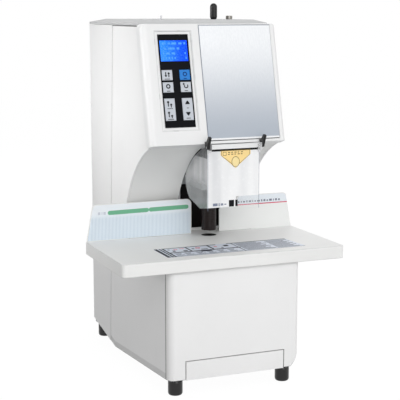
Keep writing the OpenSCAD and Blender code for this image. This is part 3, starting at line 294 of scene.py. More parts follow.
def painted(name, colour, rough=0.42, grain=1500.0, relief=0.10, gloss=0.4, bevel_darkening=0.14, foot_shade=False):
    """Paint or moulded plastic with a fine grain, slow shifts of tone, darkened bevels (edge grime, and on
    the covers painted shade in the seams) and, if asked, a painted shade band along a side panel's foot.
    """
    f = Finish(name, Specular_IOR_Level=gloss)
    drift = f.noise(7.0, 3.0)
    grain_field = f.noise(grain, 2.0)
    rubbed = f.bevel_mask() * f.noise(55.0, 3.0).span(0.46, 0.68)
    handled = f.noise(22.0, 4.0).span(0.55, 0.8)
    tone = f.mix(drift, shade(colour, 0.955), shade(colour, 1.035))
    tone = f.mix(handled * 0.10, tone, shade(colour, 0.86))
    # Painted shade: a darker band along the rounded foot of a side panel, where shade falls.
    if foot_shade:
        above = f.axis(2) - fold_line(f)
        tone = f.mix((1.0 - above.span(*FOOT_SHADE_BAND)) * 0.95, tone, shade(colour, 0.74))
    # Darkened bevels: slight edge grime on most painted parts; where the darkening is full, on the covers,
    # painted shade in the seams and gaps between panels.
    tone = f.mix(f.bevel_mask() * bevel_darkening + rubbed * 0.15, tone, shade(colour, 0.20))
    rougher = rough + (drift - 0.5) * 0.12 + handled * 0.05 - rubbed * 0.12
    return f.feed(base_color=tone, roughness=rougher, normal=f.bump(grain_field, relief, 0.0002))


def metal(name, colour, rough=0.32, metallic=0.9, brush=(1.0, 1.0, 30.0), relief=0.08):
    """Machined or drawn metal with brushing across one axis."""
    f = Finish(name)
    lines = f.noise(90.0, 4.0, brush)
    stain = f.noise(12.0, 3.0)
    rubbed = f.bevel_mask() * f.noise(120.0).span(0.4, 0.6)
    tone = f.mix(stain, shade(colour, 0.86), shade(colour, 1.05))
    tone = f.mix(rubbed * 0.6, tone, shade(colour, 1.35))
    return f.feed(
        base_color=tone,
        roughness=rough + (lines - 0.5) * 0.18 - rubbed * 0.1,
        metallic=metallic - stain.span(0.62, 0.85) * 0.25,
        normal=f.bump(lines, relief, 0.0001),
    )


def rubber(name, colour, rough=0.55, relief=0.18, gloss=0.16):
    """Rubber or dark plastic with dust in its grain and paler rubbed edges."""
    f = Finish(name, Specular_IOR_Level=gloss)
    dust = f.noise(35.0, 4.0).span(0.5, 0.85)
    grain = f.noise(900.0, 2.0)
    rubbed = f.bevel_mask() * f.noise(80.0).span(0.42, 0.62)
    tone = f.mix(dust * 0.3, light(colour), shade(colour, 1.8))
    tone = f.mix(rubbed * 0.5, tone, shade(colour, 2.8))
    rougher = rough + dust * 0.14 - rubbed * 0.1
    return f.feed(base_color=tone, roughness=rougher, normal=f.bump(grain, relief, 0.0002))


def ink(name, colour):
    """Matt printing ink with a faint speckle. It also colours the painted highlight and the painted shadow
    line at the silver panel's foot.
    """
    f = Finish(name, Specular_IOR_Level=0.12)
    speck = f.noise(1800.0, 2.0)
    tone = f.mix(speck, shade(colour, 0.9), shade(colour, 1.1))
    return f.feed(base_color=tone, roughness=0.5 + (speck - 0.5) * 0.1)


def silver(name, colours):
    """Satin metal foil with a painted reflection: its tone rises from blue-grey at the foot to near white at
    the top, with a very fine upright brushing.
    """
    panel_foot, panel_top = 0.440, 0.625
    f = Finish(name, Coat_Roughness=0.2, Specular_IOR_Level=0.5)
    rise = f.axis(2)
    brush = f.noise(700.0, 2.0, (1.0, 1.0, 0.02))
    sweep = f.noise(5.0, 2.0, (2.0, 1.0, 0.6))
    # Painted reflection: blue-grey at the panel's foot rising to near white at its top.
    tone = f.mix(rise.span(panel_foot, panel_top), light(colours.panel_foot_reflection), light(colours.panel_top_reflection))
    tone = f.mix(brush.span(0.3, 0.7) * 0.10, tone, shade(colours.panel_foot_reflection, 0.9))
    tone = f.mix(f.bevel_mask() * 0.75, tone, light((0.60, 0.62, 0.66)))
    return f.feed(
        base_color=tone,
        roughness=0.36 + (brush - 0.5) * 0.08 + (sweep - 0.5) * 0.06,
        metallic=0.2 + (sweep - 0.5) * 0.1,
        normal=f.bump(brush, 0.03, 0.00003),
        coat_weight=0.15 + sweep * 0.1,
    )


def lit_display(name, colours):
    """Lit display: paler to the left, with faint cells and soft blank patches."""
    pale_end, deep_end, cell_turn = -0.10, -0.05, 5200.0
    f = Finish(name, Emission_Strength=0.55, Roughness=0.5, Specular_IOR_Level=0.04)
    across, up = f.axis(0), f.axis(2)
    cells = (across * cell_turn).wave().span(-0.2, 0.6) * (up * cell_turn).wave().span(-0.2, 0.6)
    glow = across.span(pale_end, deep_end)
    haze = f.noise(60.0, 2.0)
    blank = f.noise(420.0, 3.0, (1.0, 1.0, 2.2)).span(0.46, 0.66) * (1.0 - glow * 0.6)
    tone = f.mix(glow * 0.85 + haze * 0.15, light((0.13, 0.47, 0.98)), light(colours.display))
    tone = f.mix(cells * 0.08 + blank * 0.42, tone, light((0.40, 0.65, 1.0)))
    return f.feed(base_color=tone, emission_color=tone)


def glossy_black(name, colour):
    """Shiny black film with smears and a little dust."""
    f = Finish(name, Coat_Roughness=0.1, Specular_IOR_Level=0.09)
    smear = f.noise(40.0, 3.0, (1.0, 1.0, 0.4))
    dust = f.noise(1400.0, 2.0).span(0.66, 0.8)
    tone = f.mix(smear * 0.5 + dust * 0.2, light(colour), shade(colour, 1.5))
    return f.feed(base_color=tone, roughness=0.16 + (smear - 0.5) * 0.12, coat_weight=0.02 + smear * 0.05)


def clear_guard(name):
    """Clear plastic with painted milky reflections as a thin haze. Its left plate has a painted dark
    reflection above and a painted shadow below.
    """
    face_depth, face_top, middle = -0.1488, 0.4217, 0.0
    bare_top, bare_left = 0.3365, 0.030
    shadow_band, dark_reflection_band = (0.345, 0.375), (0.4045, 0.4065)
    f = Finish(name, Specular_IOR_Level=0.7, IOR=1.49)
    across, depth, up = f.axis(0), f.axis(1), f.axis(2)
    front = depth.under(face_depth) * up.under(face_top)
    left_plate = (1.0 - front) * across.under(middle)
    bare = up.under(bare_top) * across.over(bare_left)
    shadow = left_plate * (1.0 - up.span(*shadow_band))
    dark_reflection = left_plate * up.span(*dark_reflection_band)
    streak = f.noise(26.0, 2.0, (1.0, 1.0, 0.10)).span(0.35, 0.65)
    scuff = f.noise(160.0, 4.0).span(0.52, 0.8)
    shine = (across + depth * 0.4 - up * 0.12).wave()
    haze = f.mix(streak, light((0.93, 0.935, 0.945)), light((0.985, 0.987, 0.99)))
    # Painted dark reflection on the upper left plate, and painted shadow on its lower part.
    tone = f.mix(dark_reflection * 0.85, haze, light((0.17, 0.18, 0.19)))
    tone = f.mix(shadow * 0.55, tone, light((0.40, 0.44, 0.44)))
    tone = f.mix(f.bevel_mask() * 0.45, tone, light((0.55, 0.56, 0.60)))
    cover = 0.36 + front * 0.46 - bare * 0.74 + dark_reflection * 0.42
    cover = cover + streak * 0.10 + scuff * 0.06 + f.bevel_mask() * 0.2 + shine * 0.01
    return f.feed(base_color=tone, roughness=0.10 + scuff * 0.10 + streak * 0.03, alpha=cover)


def amber_film(name, colours):
    """Amber film, a little deeper towards its top."""
    film_foot, film_top = 0.36, 0.42
    f = Finish(name, Specular_IOR_Level=0.5)
    fade = f.noise(70.0, 3.0)
    tone = f.mix(fade, shade(colours.label, 0.96), shade(colours.label, 1.02))
    tone = f.mix(f.axis(2).span(film_foot, film_top) * 0.35, tone, light((0.97, 0.83, 0.52)))
    return f.feed(base_color=tone, roughness=0.32 + (fade - 0.5) * 0.1)


def scale_sheet(name, colours, sizes):
    """Printed film: fine upright lines on a pale ground, which is plain and paler above them."""
    line_top, ground_top = (0.286, 0.2935), (0.285, 0.302)
    f = Finish(name, Specular_IOR_Level=0.4)
    across, up = f.axis(0), f.axis(2)
    lines = (across * (2.0 * math.pi / sizes.scale_pitch)).wave().span(0.55, 0.95)
    lines = lines * (1.0 - up.span(*line_top))
    faint = f.noise(40.0, 3.0, (3.0, 1.0, 0.6))
    ground = f.mix(faint, shade(colours.scale, 0.97), shade(colours.scale, 1.05))
    ground = f.mix(up.span(*ground_top) * 0.75, ground, light((0.93, 0.945, 0.96)))
    tone = f.mix(lines * 0.8, ground, light((0.63, 0.71, 0.79)))
    return f.feed(base_color=tone, roughness=0.42 + (faint - 0.5) * 0.1 + lines * 0.08)


def knurled(name, colour):
    """Knurled metal with grime between its ridges."""
    f = Finish(name)
    grime = f.noise(300.0, 3.0).span(0.45, 0.75)
    tone = f.mix(grime * 0.6, light(colour), shade(colour, 0.45))
    tone = f.mix(f.bevel_mask() * 0.6, tone, shade(colour, 1.3))
    return f.feed(base_color=tone, roughness=0.3 + grime * 0.2, metallic=0.9 - grime * 0.2)


def board_green(name):
    """Circuit board with paler tracks both ways."""
    f = Finish(name, Specular_IOR_Level=0.5)
    upright = (f.axis(0) * 1900.0).wave().over(0.72)
    level = (f.axis(2) * 1500.0).wave().over(0.8)
    tracks = upright.larger(level) * f.noise(45.0).span(0.45, 0.55)
    tone = f.mix(tracks, light((0.05, 0.27, 0.15)), light((0.13, 0.42, 0.25)))
    return f.feed(base_color=tone, roughness=0.38 - tracks * 0.1, normal=f.bump(tracks, 0.2, 0.00005))


def motor_case(name, colour):
    """Dark enamelled case with faint ring marks from its tool."""
    f = Finish(name, Specular_IOR_Level=0.5)
    rings = (f.axis(2) * 2600.0).wave()
    chip = f.noise(60.0, 4.0).span(0.6, 0.75)
    tone = f.mix(f.noise(20.0, 3.0), shade(colour, 0.9), shade(colour, 1.25))
    tone = f.mix(f.bevel_mask() * chip, tone, light((0.55, 0.55, 0.56)))
    return f.feed(base_color=tone, roughness=0.42 + chip * 0.15, normal=f.bump(rings, 0.08, 0.0001))


def glowing_mark(name):
    """Paler lit marks of the display."""
    f = Finish(name, Emission_Strength=0.6, Roughness=0.4, Specular_IOR_Level=0.2)
    soft = f.noise(300.0, 2.0)
    tone = f.mix(soft, light((0.12, 0.42, 0.98)), light((0.33, 0.60, 1.0)))
    return f.feed(base_color=tone, emission_color=tone)


INKS = {
    "amber_pale": (0.985, 0.89, 0.66),
    "dark_ink_and_painted_shadow": (0.045, 0.05, 0.07),
    "ink_grey": (0.50, 0.53, 0.60),
    "ink_pale": (0.80, 0.82, 0.86),
    "chart_dark": (0.10, 0.11, 0.15),
    "chart_grey": (0.47, 0.49, 0.54),
    "painted_highlight_white": (0.95, 0.955, 0.965),
    "ink_red": (0.85, 0.38, 0.46),
    "ink_pink": (0.88, 0.62, 0.66),
    "ink_blue": (0.02, 0.13, 0.36),
    "ink_brown": (0.50, 0.42, 0.28),
}
FINISHES = {}


def finish(slot):
    """The finish of a material slot, made once."""
    if slot in FINISHES:
        return FINISHES[slot]
    if slot in INKS:
        FINISHES[slot] = ink(slot, INKS[slot])
        return FINISHES[slot]
    scene = bpy.context.scene
    c, s = scene.riveter_colours, scene.riveter_sizes
    makers = {
        # The covers' bevels are darkened fully: painted shade in the seams between panels.
        "body_white": lambda name: painted(name, c.body, bevel_darkening=1.0),
        "side_white_foot_shade": lambda name: painted(name, c.body, bevel_darkening=1.0, foot_shade=True),
        "liner_grey": lambda name: painted(name, c.liner, 0.5, 1100.0, 0.14),
        "moulding_white": lambda name: painted(name, c.moulding, 0.36, 1900.0, 0.06),
        "silver_panel": lambda name: silver(name, c),
        "overlay_black": lambda name: glossy_black(name, c.overlay),
        "display_blue": lambda name: lit_display(name, c),
        "dark_plastic": lambda name: rubber(name, (0.055, 0.055, 0.06), 0.30, 0.08, 0.3),
        "lid_white_painted_shade": lambda name: painted(name, c.lid, 0.6, gloss=0.03),
        # Near black so that the slot behind the press sleeve looks as dark as its shade: painted shade.
        "frame_dark": lambda name: rubber(name, (0.075, 0.06, 0.055), 0.6, 0.1),
        # Black for the painted shadow bar on the guard's top.
        "gap_shadow_black": lambda name: rubber(name, (0.05, 0.05, 0.052), 0.5, 0.1),
        "board_green": board_green,
        "key_grey": lambda name: painted(name, c.key, 0.45, 2600.0, 0.05),
        "key_blue": lambda name: painted(name, c.start, 0.4, 2600.0, 0.05),
        "table_white": lambda name: painted(name, c.table, 0.46, 1300.0, 0.12),
        "pad_black": lambda name: rubber(name, (0.05, 0.048, 0.048), 0.6),
        "fence_pale": lambda name: scale_sheet(name, c, s),
        "fence_white": lambda name: painted(name, c.fence, 0.5, 1500.0, 0.08),
        "guard_clear": clear_guard,
        "label_amber": lambda name: amber_film(name, c),
        "bright_steel": lambda name: metal(name, (0.78, 0.78, 0.79), 0.25),
        "sleeve_dark": lambda name: rubber(name, c.sleeve, 0.30, 0.06, 0.26),
        "cast_aluminium": lambda name: metal(name, (0.70, 0.71, 0.72), 0.45, 0.75, EVEN, 0.25),
        "frame_steel": lambda name: metal(name, (0.66, 0.67, 0.68), 0.40, 0.65, (6.0, 1.0, 1.0), 0.06),
        "brass_parts": lambda name: metal(name, (0.80, 0.66, 0.36), 0.28, 0.95),
        "motor_dark": lambda name: motor_case(name, (0.16, 0.16, 0.17)),
        "belt_black": lambda name: rubber(name, c.rubber, 0.6),
        "foot_black": lambda name: rubber(name, c.rubber, 0.24, 0.10, 0.45),
        "unit_case": lambda name: metal(name, (0.68, 0.69, 0.70), 0.42, 0.6, (1.0, 8.0, 1.0), 0.05),
        "knurled_steel": lambda name: knurled(name, (0.62, 0.61, 0.59)),
        "scale_ground": lambda name: painted(name, (0.90, 0.925, 0.95), 0.45, 1500.0, 0.04),
        "chart_ground": lambda name: painted(name, (0.86, 0.885, 0.93), 0.4, 1500.0, 0.04),
        "ink_green": lambda name: ink(name, c.pill),
        "display_mark": glowing_mark,
    }
    FINISHES[slot] = makers[slot](slot)
    return FINISHES[slot]


# ---------------------------------------------------------------- shaping


def merged(node):
    """A node's CAD mesh as one clean mesh, with flat areas joined."""
    work = bmesh.new()
    work.from_mesh(frame["nodes"][node].data)
    bmesh.ops.remove_doubles(work, verts=work.verts, dist=2e-6)
    bmesh.ops.dissolve_limit(
        work, angle_limit=math.radians(0.4), use_dissolve_boundaries=False, verts=work.verts, edges=work.edges
    )
    return work


def block(size, centre, matrix):
    """A box of a size round a centre, in a local frame."""
    work = bmesh.new()
    bmesh.ops.create_cube(work, size=1.0)
    bmesh.ops.scale(work, vec=size, verts=work.verts)
    bmesh.ops.translate(work, vec=centre, verts=work.verts)
    work.transform(matrix)
    return work


def long_edge(edge):
    """Leaves out vents, corners and curves, whose edges are short."""
    return edge.calc_length() > SHORT_EDGE


def not_tiny(edge):
    """Leaves out only the slivers between joined shapes."""
    return edge.calc_length() > TINY_EDGE


def ease(work, width, segments=2, angle=32.0, where=None):
    """Rounds the outward edges sharper than an angle, and marks the new faces for the finishes: rubbed edges
    on most parts, painted seam shade on the painted covers.
    """
    bevel_layer = work.loops.layers.float.get("bevel_faces") or work.loops.layers.float.new("bevel_faces")
    limit = math.radians(angle)
    chosen = [
        e
        for e in work.edges
        if e.is_manifold and e.is_convex and e.calc_face_angle(0.0) > limit and (where is None or where(e))
    ]
    made = bmesh.ops.bevel(
        work,
        geom=chosen,
        offset=width,
        offset_type="OFFSET",
        segments=segments,
        profile=0.5,
        affect="EDGES",
        clamp_overlap=True,
        material=-1,
    )
    for face in made["faces"]:
        for corner in face.loops:
            corner[bevel_layer] = 1.0
    return work


def place_piece(work, name, body, finishes, nodes=(), even=True):
    """Turns the worked mesh into a piece that rides on a body, with its finishes."""
    for face in work.faces:
        face.smooth = True
    mesh = bpy.data.meshes.new(name)
    work.to_mesh(mesh)
    work.free()
    if "custom_normal" in mesh.attributes:
        mesh.attributes.remove(mesh.attributes["custom_normal"])
    mesh.set_sharp_from_angle(angle=math.radians(SHARP_ANGLE))
    for one in finishes:
        mesh.materials.append(finish(one))
    piece = bpy.data.objects.new(name, mesh)
    bpy.context.scene.collection.objects.link(piece)
    if even:
        level = piece.modifiers.new("even_shading", "WEIGHTED_NORMAL")
        level.keep_sharp = True
    if nodes:
        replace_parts(piece, *nodes)
    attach(piece, body)
    return piece


def dress(node, width, segments=2, angle=32.0, where=None, look=None):
    """A CAD node's own shape with broken edges, in its slot's finish or in another look."""
    work = ease(merged(node), width, segments, angle, where)
    slot = SLOT_OF[node]
    return place_piece(work, "skin_" + node, BODY_OF[node], [look or slot], [node])


def coat(*nodes):
    """CAD nodes that keep their own mesh get their slot's finish."""
    for node in nodes:
        slots = frame["nodes"][node].data.materials
        slots.clear()
        slots.append(finish(SLOT_OF[node]))


class Print:
    """Thin marks on a flat ground. Drawn in X and Z, standing off towards -Y, in millimetres.

    Each mark is as thick as the height, which alone is in metres.
    """

    def __init__(self, frame_of, off, height):
        self.work, self.frame_of, self.off, self.height = bmesh.new(), frame_of, off, height
        self.index = 0

    def use(self, index):
        """Sets the finish of the marks that follow."""
        self.index = index
        return self

    def lift(self, faces):
        """Gives flat faces their thickness and their finish."""
        made = bmesh.ops.extrude_face_region(self.work, geom=faces)
        fresh = [v for v in made["geom"] if isinstance(v, bmesh.types.BMVert)]
        bmesh.ops.translate(self.work, verts=fresh, vec=(0, -self.height * 1000.0, 0))
        for face in self.work.faces:
            if face.tag is False:
                face.material_index = self.index
                face.tag = True
        return self

    def shape(self, *points):
        verts = [self.work.verts.new((x, -self.off, z)) for x, z in points]
        return self.lift([self.work.faces.new(verts)])

    def bar(self, x0, z0, x1, z1):
        return self.shape((x0, z0), (x1, z0), (x1, z1), (x0, z1))

    def disc(self, x, z, radius, sides=24, squash=1.0):
        turns = [2 * math.pi * i / sides for i in range(sides)]
        return self.shape(*((x + radius * math.cos(a), z + radius * squash * math.sin(a)) for a in turns))

    def pill(self, x0, z0, x1, z1, radius, sides=8):
        """A bar with round ends from one middle point to the other."""
        turn = math.atan2(z1 - z0, x1 - x0)
        points = []
        for cx, cz, start in ((x1, z1, turn - math.pi / 2), (x0, z0, turn + math.pi / 2)):
            for i in range(sides + 1):
                a = start + math.pi * i / sides
                points.append((cx + radius * math.cos(a), cz + radius * math.sin(a)))
        return self.shape(*points)

    def ring(self, x, z, outer, inner, start=0.0, sweep=360.0, steps=24):
        """A ring or a part of one, swept from a short line."""
        full = sweep >= 360.0
        a = math.radians(start)
        ends = [
            self.work.verts.new((x + r * math.cos(a), -self.off, z + r * math.sin(a))) for r in (inner, outer)
        ]
        line = self.work.edges.new(ends)
        before = set(self.work.faces)
        bmesh.ops.spin(
            self.work,
            geom=ends + [line],
            cent=(x, -self.off, z),
            axis=(0, -1, 0),
            angle=math.radians(sweep),
            steps=steps,
            use_merge=full,
        )
        return self.lift([f for f in self.work.faces if f not in before])

    def frame_bar(self, x0, z0, x1, z1, line):
        """Four thin bars round a box."""
        self.bar(x0, z0, x1, z0 + line)
        self.bar(x0, z1 - line, x1, z1)
        self.bar(x0, z0 + line, x0 + line, z1 - line)
        return self.bar(x1 - line, z0 + line, x1, z1 - line)

    def done(self, name, body, slot, finishes):
        bmesh.ops.recalc_face_normals(self.work, faces=self.work.faces)
        self.work.transform(self.frame_of)
        return place_piece(self.work, name, body, finishes, even=False)


def local(point, matrix):
    """A point of the row frame in a local frame, in millimetres."""
    return matrix.inverted() @ point


# ---------------------------------------------------------------- pieces


class RIVETER_OT_covers(bpy.types.Operator):
    """Front, side and rear covers, the lid and the drawer"""

    bl_idname = "riveter.covers"
    bl_label = "Covers and lid"

    def execute(self, context):
        s = context.scene.riveter_sizes
        dress("front_cover", s.cover_edge * 0.8)
        dress("rear_cover", s.cover_edge * 0.8, where=long_edge)
        for node in ("side_panel_left", "side_panel_right"):
            dress(node, s.cover_edge * 1.3, where=long_edge, look="side_white_foot_shade")
        # The lid takes a greyer finish than the body: painted shade on its slopes.
        dress("top_cover", s.cover_edge, 3, 8.0, look="lid_white_painted_shade")
        dress("scrap_drawer", s.cover_edge * 0.4)
        return {"FINISHED"}


class RIVETER_OT_head(bpy.types.Operator):
    """Moulded front of the head with its silver panel"""

    bl_idname = "riveter.head"
    bl_label = "Head and silver panel"

    def execute(self, context):
        s = context.scene.riveter_sizes
        work = merged("head_moulding")
        inverse = LEANING_FACE.inverted()

        def on_foot(edge):
            ends = [inverse @ v.co for v in edge.verts]
            return all(p.z < FOOT_TOP and p.y < FOOT_DEPTH for p in ends)

        def round_recess(edge):
            ends = [inverse @ v.co for v in edge.verts]
            inside = all(RECESS_LEFT < p.x < RECESS_RIGHT and RECESS_LOW < p.z < RECESS_HIGH for p in ends)
            return inside and all(abs(p.y) < 0.05 for p in ends)

        ease(work, s.moulding_foot, 5, 40.0, on_foot)
        ease(work, s.recess_slope, 3, 40.0, round_recess)
        slot = "moulding_white"
        place_piece(work, "skin_head_moulding", "base", [slot], ["head_moulding"])

        plate = block((139.0, 2.0, 205.0), (PANEL_MIDDLE, 0.5, 105.1), LEANING_FACE)
        ease(plate, 0.0003, 2, 30.0)
        place_piece(plate, "skin_face_panel", "base", ["silver_panel"], ["face_panel"])

        # Painted highlight: a white strip along the panel's foot for its bright lower bevel.
        strip = block((138.0, 1.2, 3.2), (PANEL_MIDDLE, -0.35, 3.9), LEANING_FACE)
        ease(strip, 0.0005, 2, 30.0)
        place_piece(strip, "panel_foot_highlight", "base", ["painted_highlight_white"])

        lines = Print(LEANING_FACE, 0.5, s.print_height)
        lines.bar(-22.6, 6.0, -21.8, 207.4).bar(-21.8, 206.6, 116.4, 207.4)
        lines.off = 0.0
        # Painted shadow: a dark line just under that white strip.
        lines.use(1).bar(-22.0, 0.9, 116.0, 2.1)
        lines.done("panel_lines", "base", "silver_panel", ["ink_grey", "dark_ink_and_painted_shadow"])
        return {"FINISHED"}


class RIVETER_OT_controls(bpy.types.Operator):
    """Keypad overlay, lit display and the six keys with their signs"""

    bl_idname = "riveter.controls"
    bl_label = "Keypad and display"

    def execute(self, context):
        s = context.scene.riveter_sizes
        dress("keypad_overlay", 0.00015, 1)
        dress("display_window", 0.0002, 1)
        marks = Print(LEANING_FACE, -2.0, s.print_height)
        # Each row's height, then the start and length of each of its blocks
        rows = {
            176.0: ((-92.5, 7.0), (-81.5, 4.0), (-75.5, 9.0), (-62.0, 6.0), (-52.5, 3.0)),
            167.0: ((-90.0, 4.0), (-82.0, 12.0), (-66.0, 5.0)),
            158.5: ((-93.0, 3.0), (-86.0, 6.0), (-76.0, 6.0), (-52.0, 2.5)),
            150.0: ((-93.5, 2.5), (-88.0, 2.5), (-82.5, 2.5), (-77.0, 2.5), (-71.5, 2.5), (-51.0, 2.5)),
        }
        for height, blocks in rows.items():
            for start, long in blocks:
                marks.bar(start, height - 2.0, start + long, height + 1.6)
        marks.done("display_marks", "base", "display_blue", ["display_mark"])

        inverse = LEANING_FACE.inverted()
        for node in ("key_mode", "key_adjust", "key_set", "key_return", "key_up", "key_start"):
            dress(node, s.key_edge, 3, 40.0, lambda e: all((inverse @ v.co).y < KEY_FRONT for v in e.verts))
        self.signs(s)
        return {"FINISHED"}

    def signs(self, s):
        """A plain sign on each key, with a short bar under it."""

        def sheet():
            return Print(LEANING_FACE, KEY_SIGN, s.print_height)

        up = sheet()
        up.bar(-91.8, 119.6, -89.9, 125.4).shape((-93.4, 119.8), (-90.85, 116.2), (-88.3, 119.8))
        up.bar(-86.3, 116.4, -84.4, 122.2).shape((-87.9, 122.0), (-82.8, 122.0), (-85.35, 125.6))
        up.bar(-93.5, 112.4, -83.5, 113.6)
        up.done("sign_up", "button_up", "key_grey", ["dark_ink_and_painted_shadow"])

        ring = sheet()
        ring.ring(-88.2, 100.2, 4.1, 2.1).bar(-91.4, 91.2, -85.2, 92.4)
        ring.done("sign_set", "button_set", "key_grey", ["dark_ink_and_painted_shadow"])

        back = sheet()
        back.ring(-54.8, 100.2, 4.1, 2.3, 150.0, 250.0, 18)
        back.shape((-60.8, 101.4), (-56.2, 103.6), (-60.0, 106.0)).bar(-58.2, 91.2, -52.2, 92.4)
        back.done("sign_return", "button_return", "key_grey", ["dark_ink_and_painted_shadow"])

        start = sheet()
        start.ring(-55.2, 121.2, 4.0, 2.5).bar(-58.0, 112.8, -52.4, 114.0)
        start.done("sign_start", "button_start", "key_blue", ["ink_blue"])

        adjust = sheet()
        adjust.shape((-59.8, 68.0), (-50.6, 68.0), (-53.0, 72.4), (-55.2, 74.6), (-57.4, 72.4))
        adjust.shape((-57.4, 49.8), (-55.2, 47.6), (-53.0, 49.8), (-50.6, 54.2), (-59.8, 54.2))
        adjust.bar(-57.2, 60.8, -53.2, 61.9).bar(-59.2, 42.8, -51.4, 44.0)
        adjust.done("sign_adjust", "button_adjust", "key_grey", ["dark_ink_and_painted_shadow"])

        mode = sheet()
        for low, rise in ((64.2, 3.8), (45.6, 2.8)):
            mode.disc(-91.2, low + 8.4, 2.0).bar(-92.1, low + 0.6, -90.3, low + 6.4)
            mode.disc(-85.9, low + rise, 1.9).bar(-86.8, low - 1.0, -85.0, low + 1.8)
        mode.bar(-93.4, 60.6, -83.2, 61.6).bar(-93.8, 41.8, -82.8, 43.0)
        mode.done("sign_mode", "button_mode", "key_grey", ["dark_ink_and_painted_shadow"])


class RIVETER_OT_throat(bpy.types.Operator):
    """Curved liner, press sleeve and the black pad in the table"""

    bl_idname = "riveter.throat"
    bl_label = "Throat and sleeve"

    def execute(self, context):
        s = context.scene.riveter_sizes
        dress("throat_liner", s.sheet_edge, 1)
        dress("press_sleeve", 0.00015, 1, 50.0)
        dress("cutting_pad", 0.0004, 2)
        return {"FINISHED"}


class RIVETER_OT_table(bpy.types.Operator):
    """Table with its printed work chart"""

    bl_idname = "riveter.table"
    bl_label = "Table and chart"

    def execute(self, context):
        s = context.scene.riveter_sizes
        dress("table_tray", s.cover_edge, 3, where=not_tiny, look="table_white")
        # In this frame the sheet's X is the table's X and its Z is the table's depth, front edge low.
        on_table = FENCE_LINE @ Matrix.Translation((0, 0, TABLE_TOP))
        on_table = on_table @ Matrix.Rotation(math.radians(-90), 4, "X")
        chart = Print(on_table, 0.0, s.print_height)
        chart.use(2).shape((-119.6, -183.0), (145.2, -181.5), (138.6, -108.9), (-120.2, -110.6))
        chart.height, chart.off = s.print_height * 0.6, s.print_height * 1000.0
        chart.use(0)
        front, rear = -182.0, -111.2
        for left, right in ((-119.2, -113.4), (-110.6, -107.6), (-105.4, -102.0)):
            chart.bar(left, front, right, rear)
        chart.bar(-102.0, -152.0, 32.0, -147.0)
        chart.bar(-102.0, -114.6, -2.0, rear).bar(20.0, -113.6, 138.0, -110.2)
        chart.bar(-20.4, -147.0, -17.4, -114.6).bar(-62.4, -147.0, -59.4, -114.6)
        chart.bar(8.0, -132.0, 17.0, -122.0).bar(-46.0, -158.0, -26.0, -152.0)
        chart.bar(-74.0, -143.0, -66.0, -137.0).bar(-40.0, -142.0, -28.0, -138.0)
        chart.bar(-93.0, -141.0, -88.0, -133.0)
        chart.use(1)
        for x in (-98.0, -80.0, -58.0, -38.0, -18.0, 2.0):
            for low, wide in ((-160.0, 13.0), (-166.4, 10.0), (-172.8, 14.0)):
                chart.bar(x, low, x + wide, low + 3.2)
        for row in range(9):
            z = -177.0 + row * 6.9
            chart.bar(33.0, z, 90.0 - (row % 3) * 7.0, z + 4.0).bar(93.0, z, 137.0 - (row % 2) * 9.0, z + 4.0)
        chart.bar(27.0, front, 29.6, -113.0)
        chart.bar(-119.6, -182.6, 144.6, -180.6).bar(-118.0, -177.6, 24.0, -175.8)
        chart.use(3)
        chart.ring(-84.0, -126.0, 3.6, 1.8).ring(-42.0, -127.0, 4.6, 2.2)
        chart.use(4)
        chart.bar(-75.0, -124.0, -66.0, -119.6).disc(-8.0, -128.0, 3.4)
        chart.use(0)
        chart.disc(-96.0, -124.0, 2.4).disc(-52.0, -130.0, 2.6).disc(1.0, -139.0, 2.6)
        looks = ["chart_dark", "chart_grey", "chart_ground", "ink_red", "ink_pink"]
        chart.done("work_chart", "base", "table_white", looks)
        return {"FINISHED"}


class RIVETER_OT_fences(bpy.types.Operator):
    """Both fences with their printed sheets"""

    bl_idname = "riveter.fences"
    bl_label = "Fences"

    def execute(self, context):
        s = context.scene.riveter_sizes
        for node in ("fence_left", "fence_right"):
            dress(node, s.sheet_edge, where=not_tiny, look="fence_white")
        left = Print(FENCE_LINE, 0.0, s.print_height * 1.4)
        foot, top = TABLE_TOP + 1.0, 312.8
        left.shape(
            (-4.0, foot), (-4.0, 303.0), (-5.4, 308.5), (-9.5, 312.0), (-14.0, top),
            (-189.0, top), (-193.4, 310.8), (-196.0, 306.0), (-206.3, foot),
        )
        left.done("scale_film", "base", "fence_pale", ["fence_pale"])
        bars = Print(FENCE_LINE, s.print_height * 1400.0, s.print_height)
        bars.pill(-163.5, 297.6, -91.0, 298.3, 3.9).pill(-83.5, 298.6, -12.0, 299.3, 3.9)
        bars.use(1)
        for start, end in ((-186.0, -181.5), (-179.0, -177.5), (-175.5, -171.0)):
            bars.bar(start, 295.0, end, 300.0)
        bars.done("scale_bars", "base", "fence_pale", ["ink_green", "ink_pale"])
        right = Print(FENCE_LINE, 0.0, s.print_height)
        upper = ((197.0, 306.0), (194.5, 310.8), (190.0, top), (100.0, top), (94.0, 310.6), (91.0, 305.0))
        right.shape((91.0, 296.4), (199.0, 296.4), *upper)
        right.use(1).bar(90.5, 294.6, 199.3, 296.6)
        right.use(2)
        right.off, right.height = s.print_height * 1000.0, s.print_height * 0.5
        place, space = 94.0, 2.6
        for wide in (3.5, 2.0, 4.5, 2.5, 5.0, 2.0, 3.0, 6.0, 2.5, 4.0, 3.0, 5.5, 2.0, 4.0, 3.5):
            right.bar(place, 299.4, place + wide, 302.4 + (wide % 1.5))
            place += wide + space
        right.done("size_strip", "base", "fence_white", ["scale_ground", "ink_red", "chart_grey"])
        return {"FINISHED"}


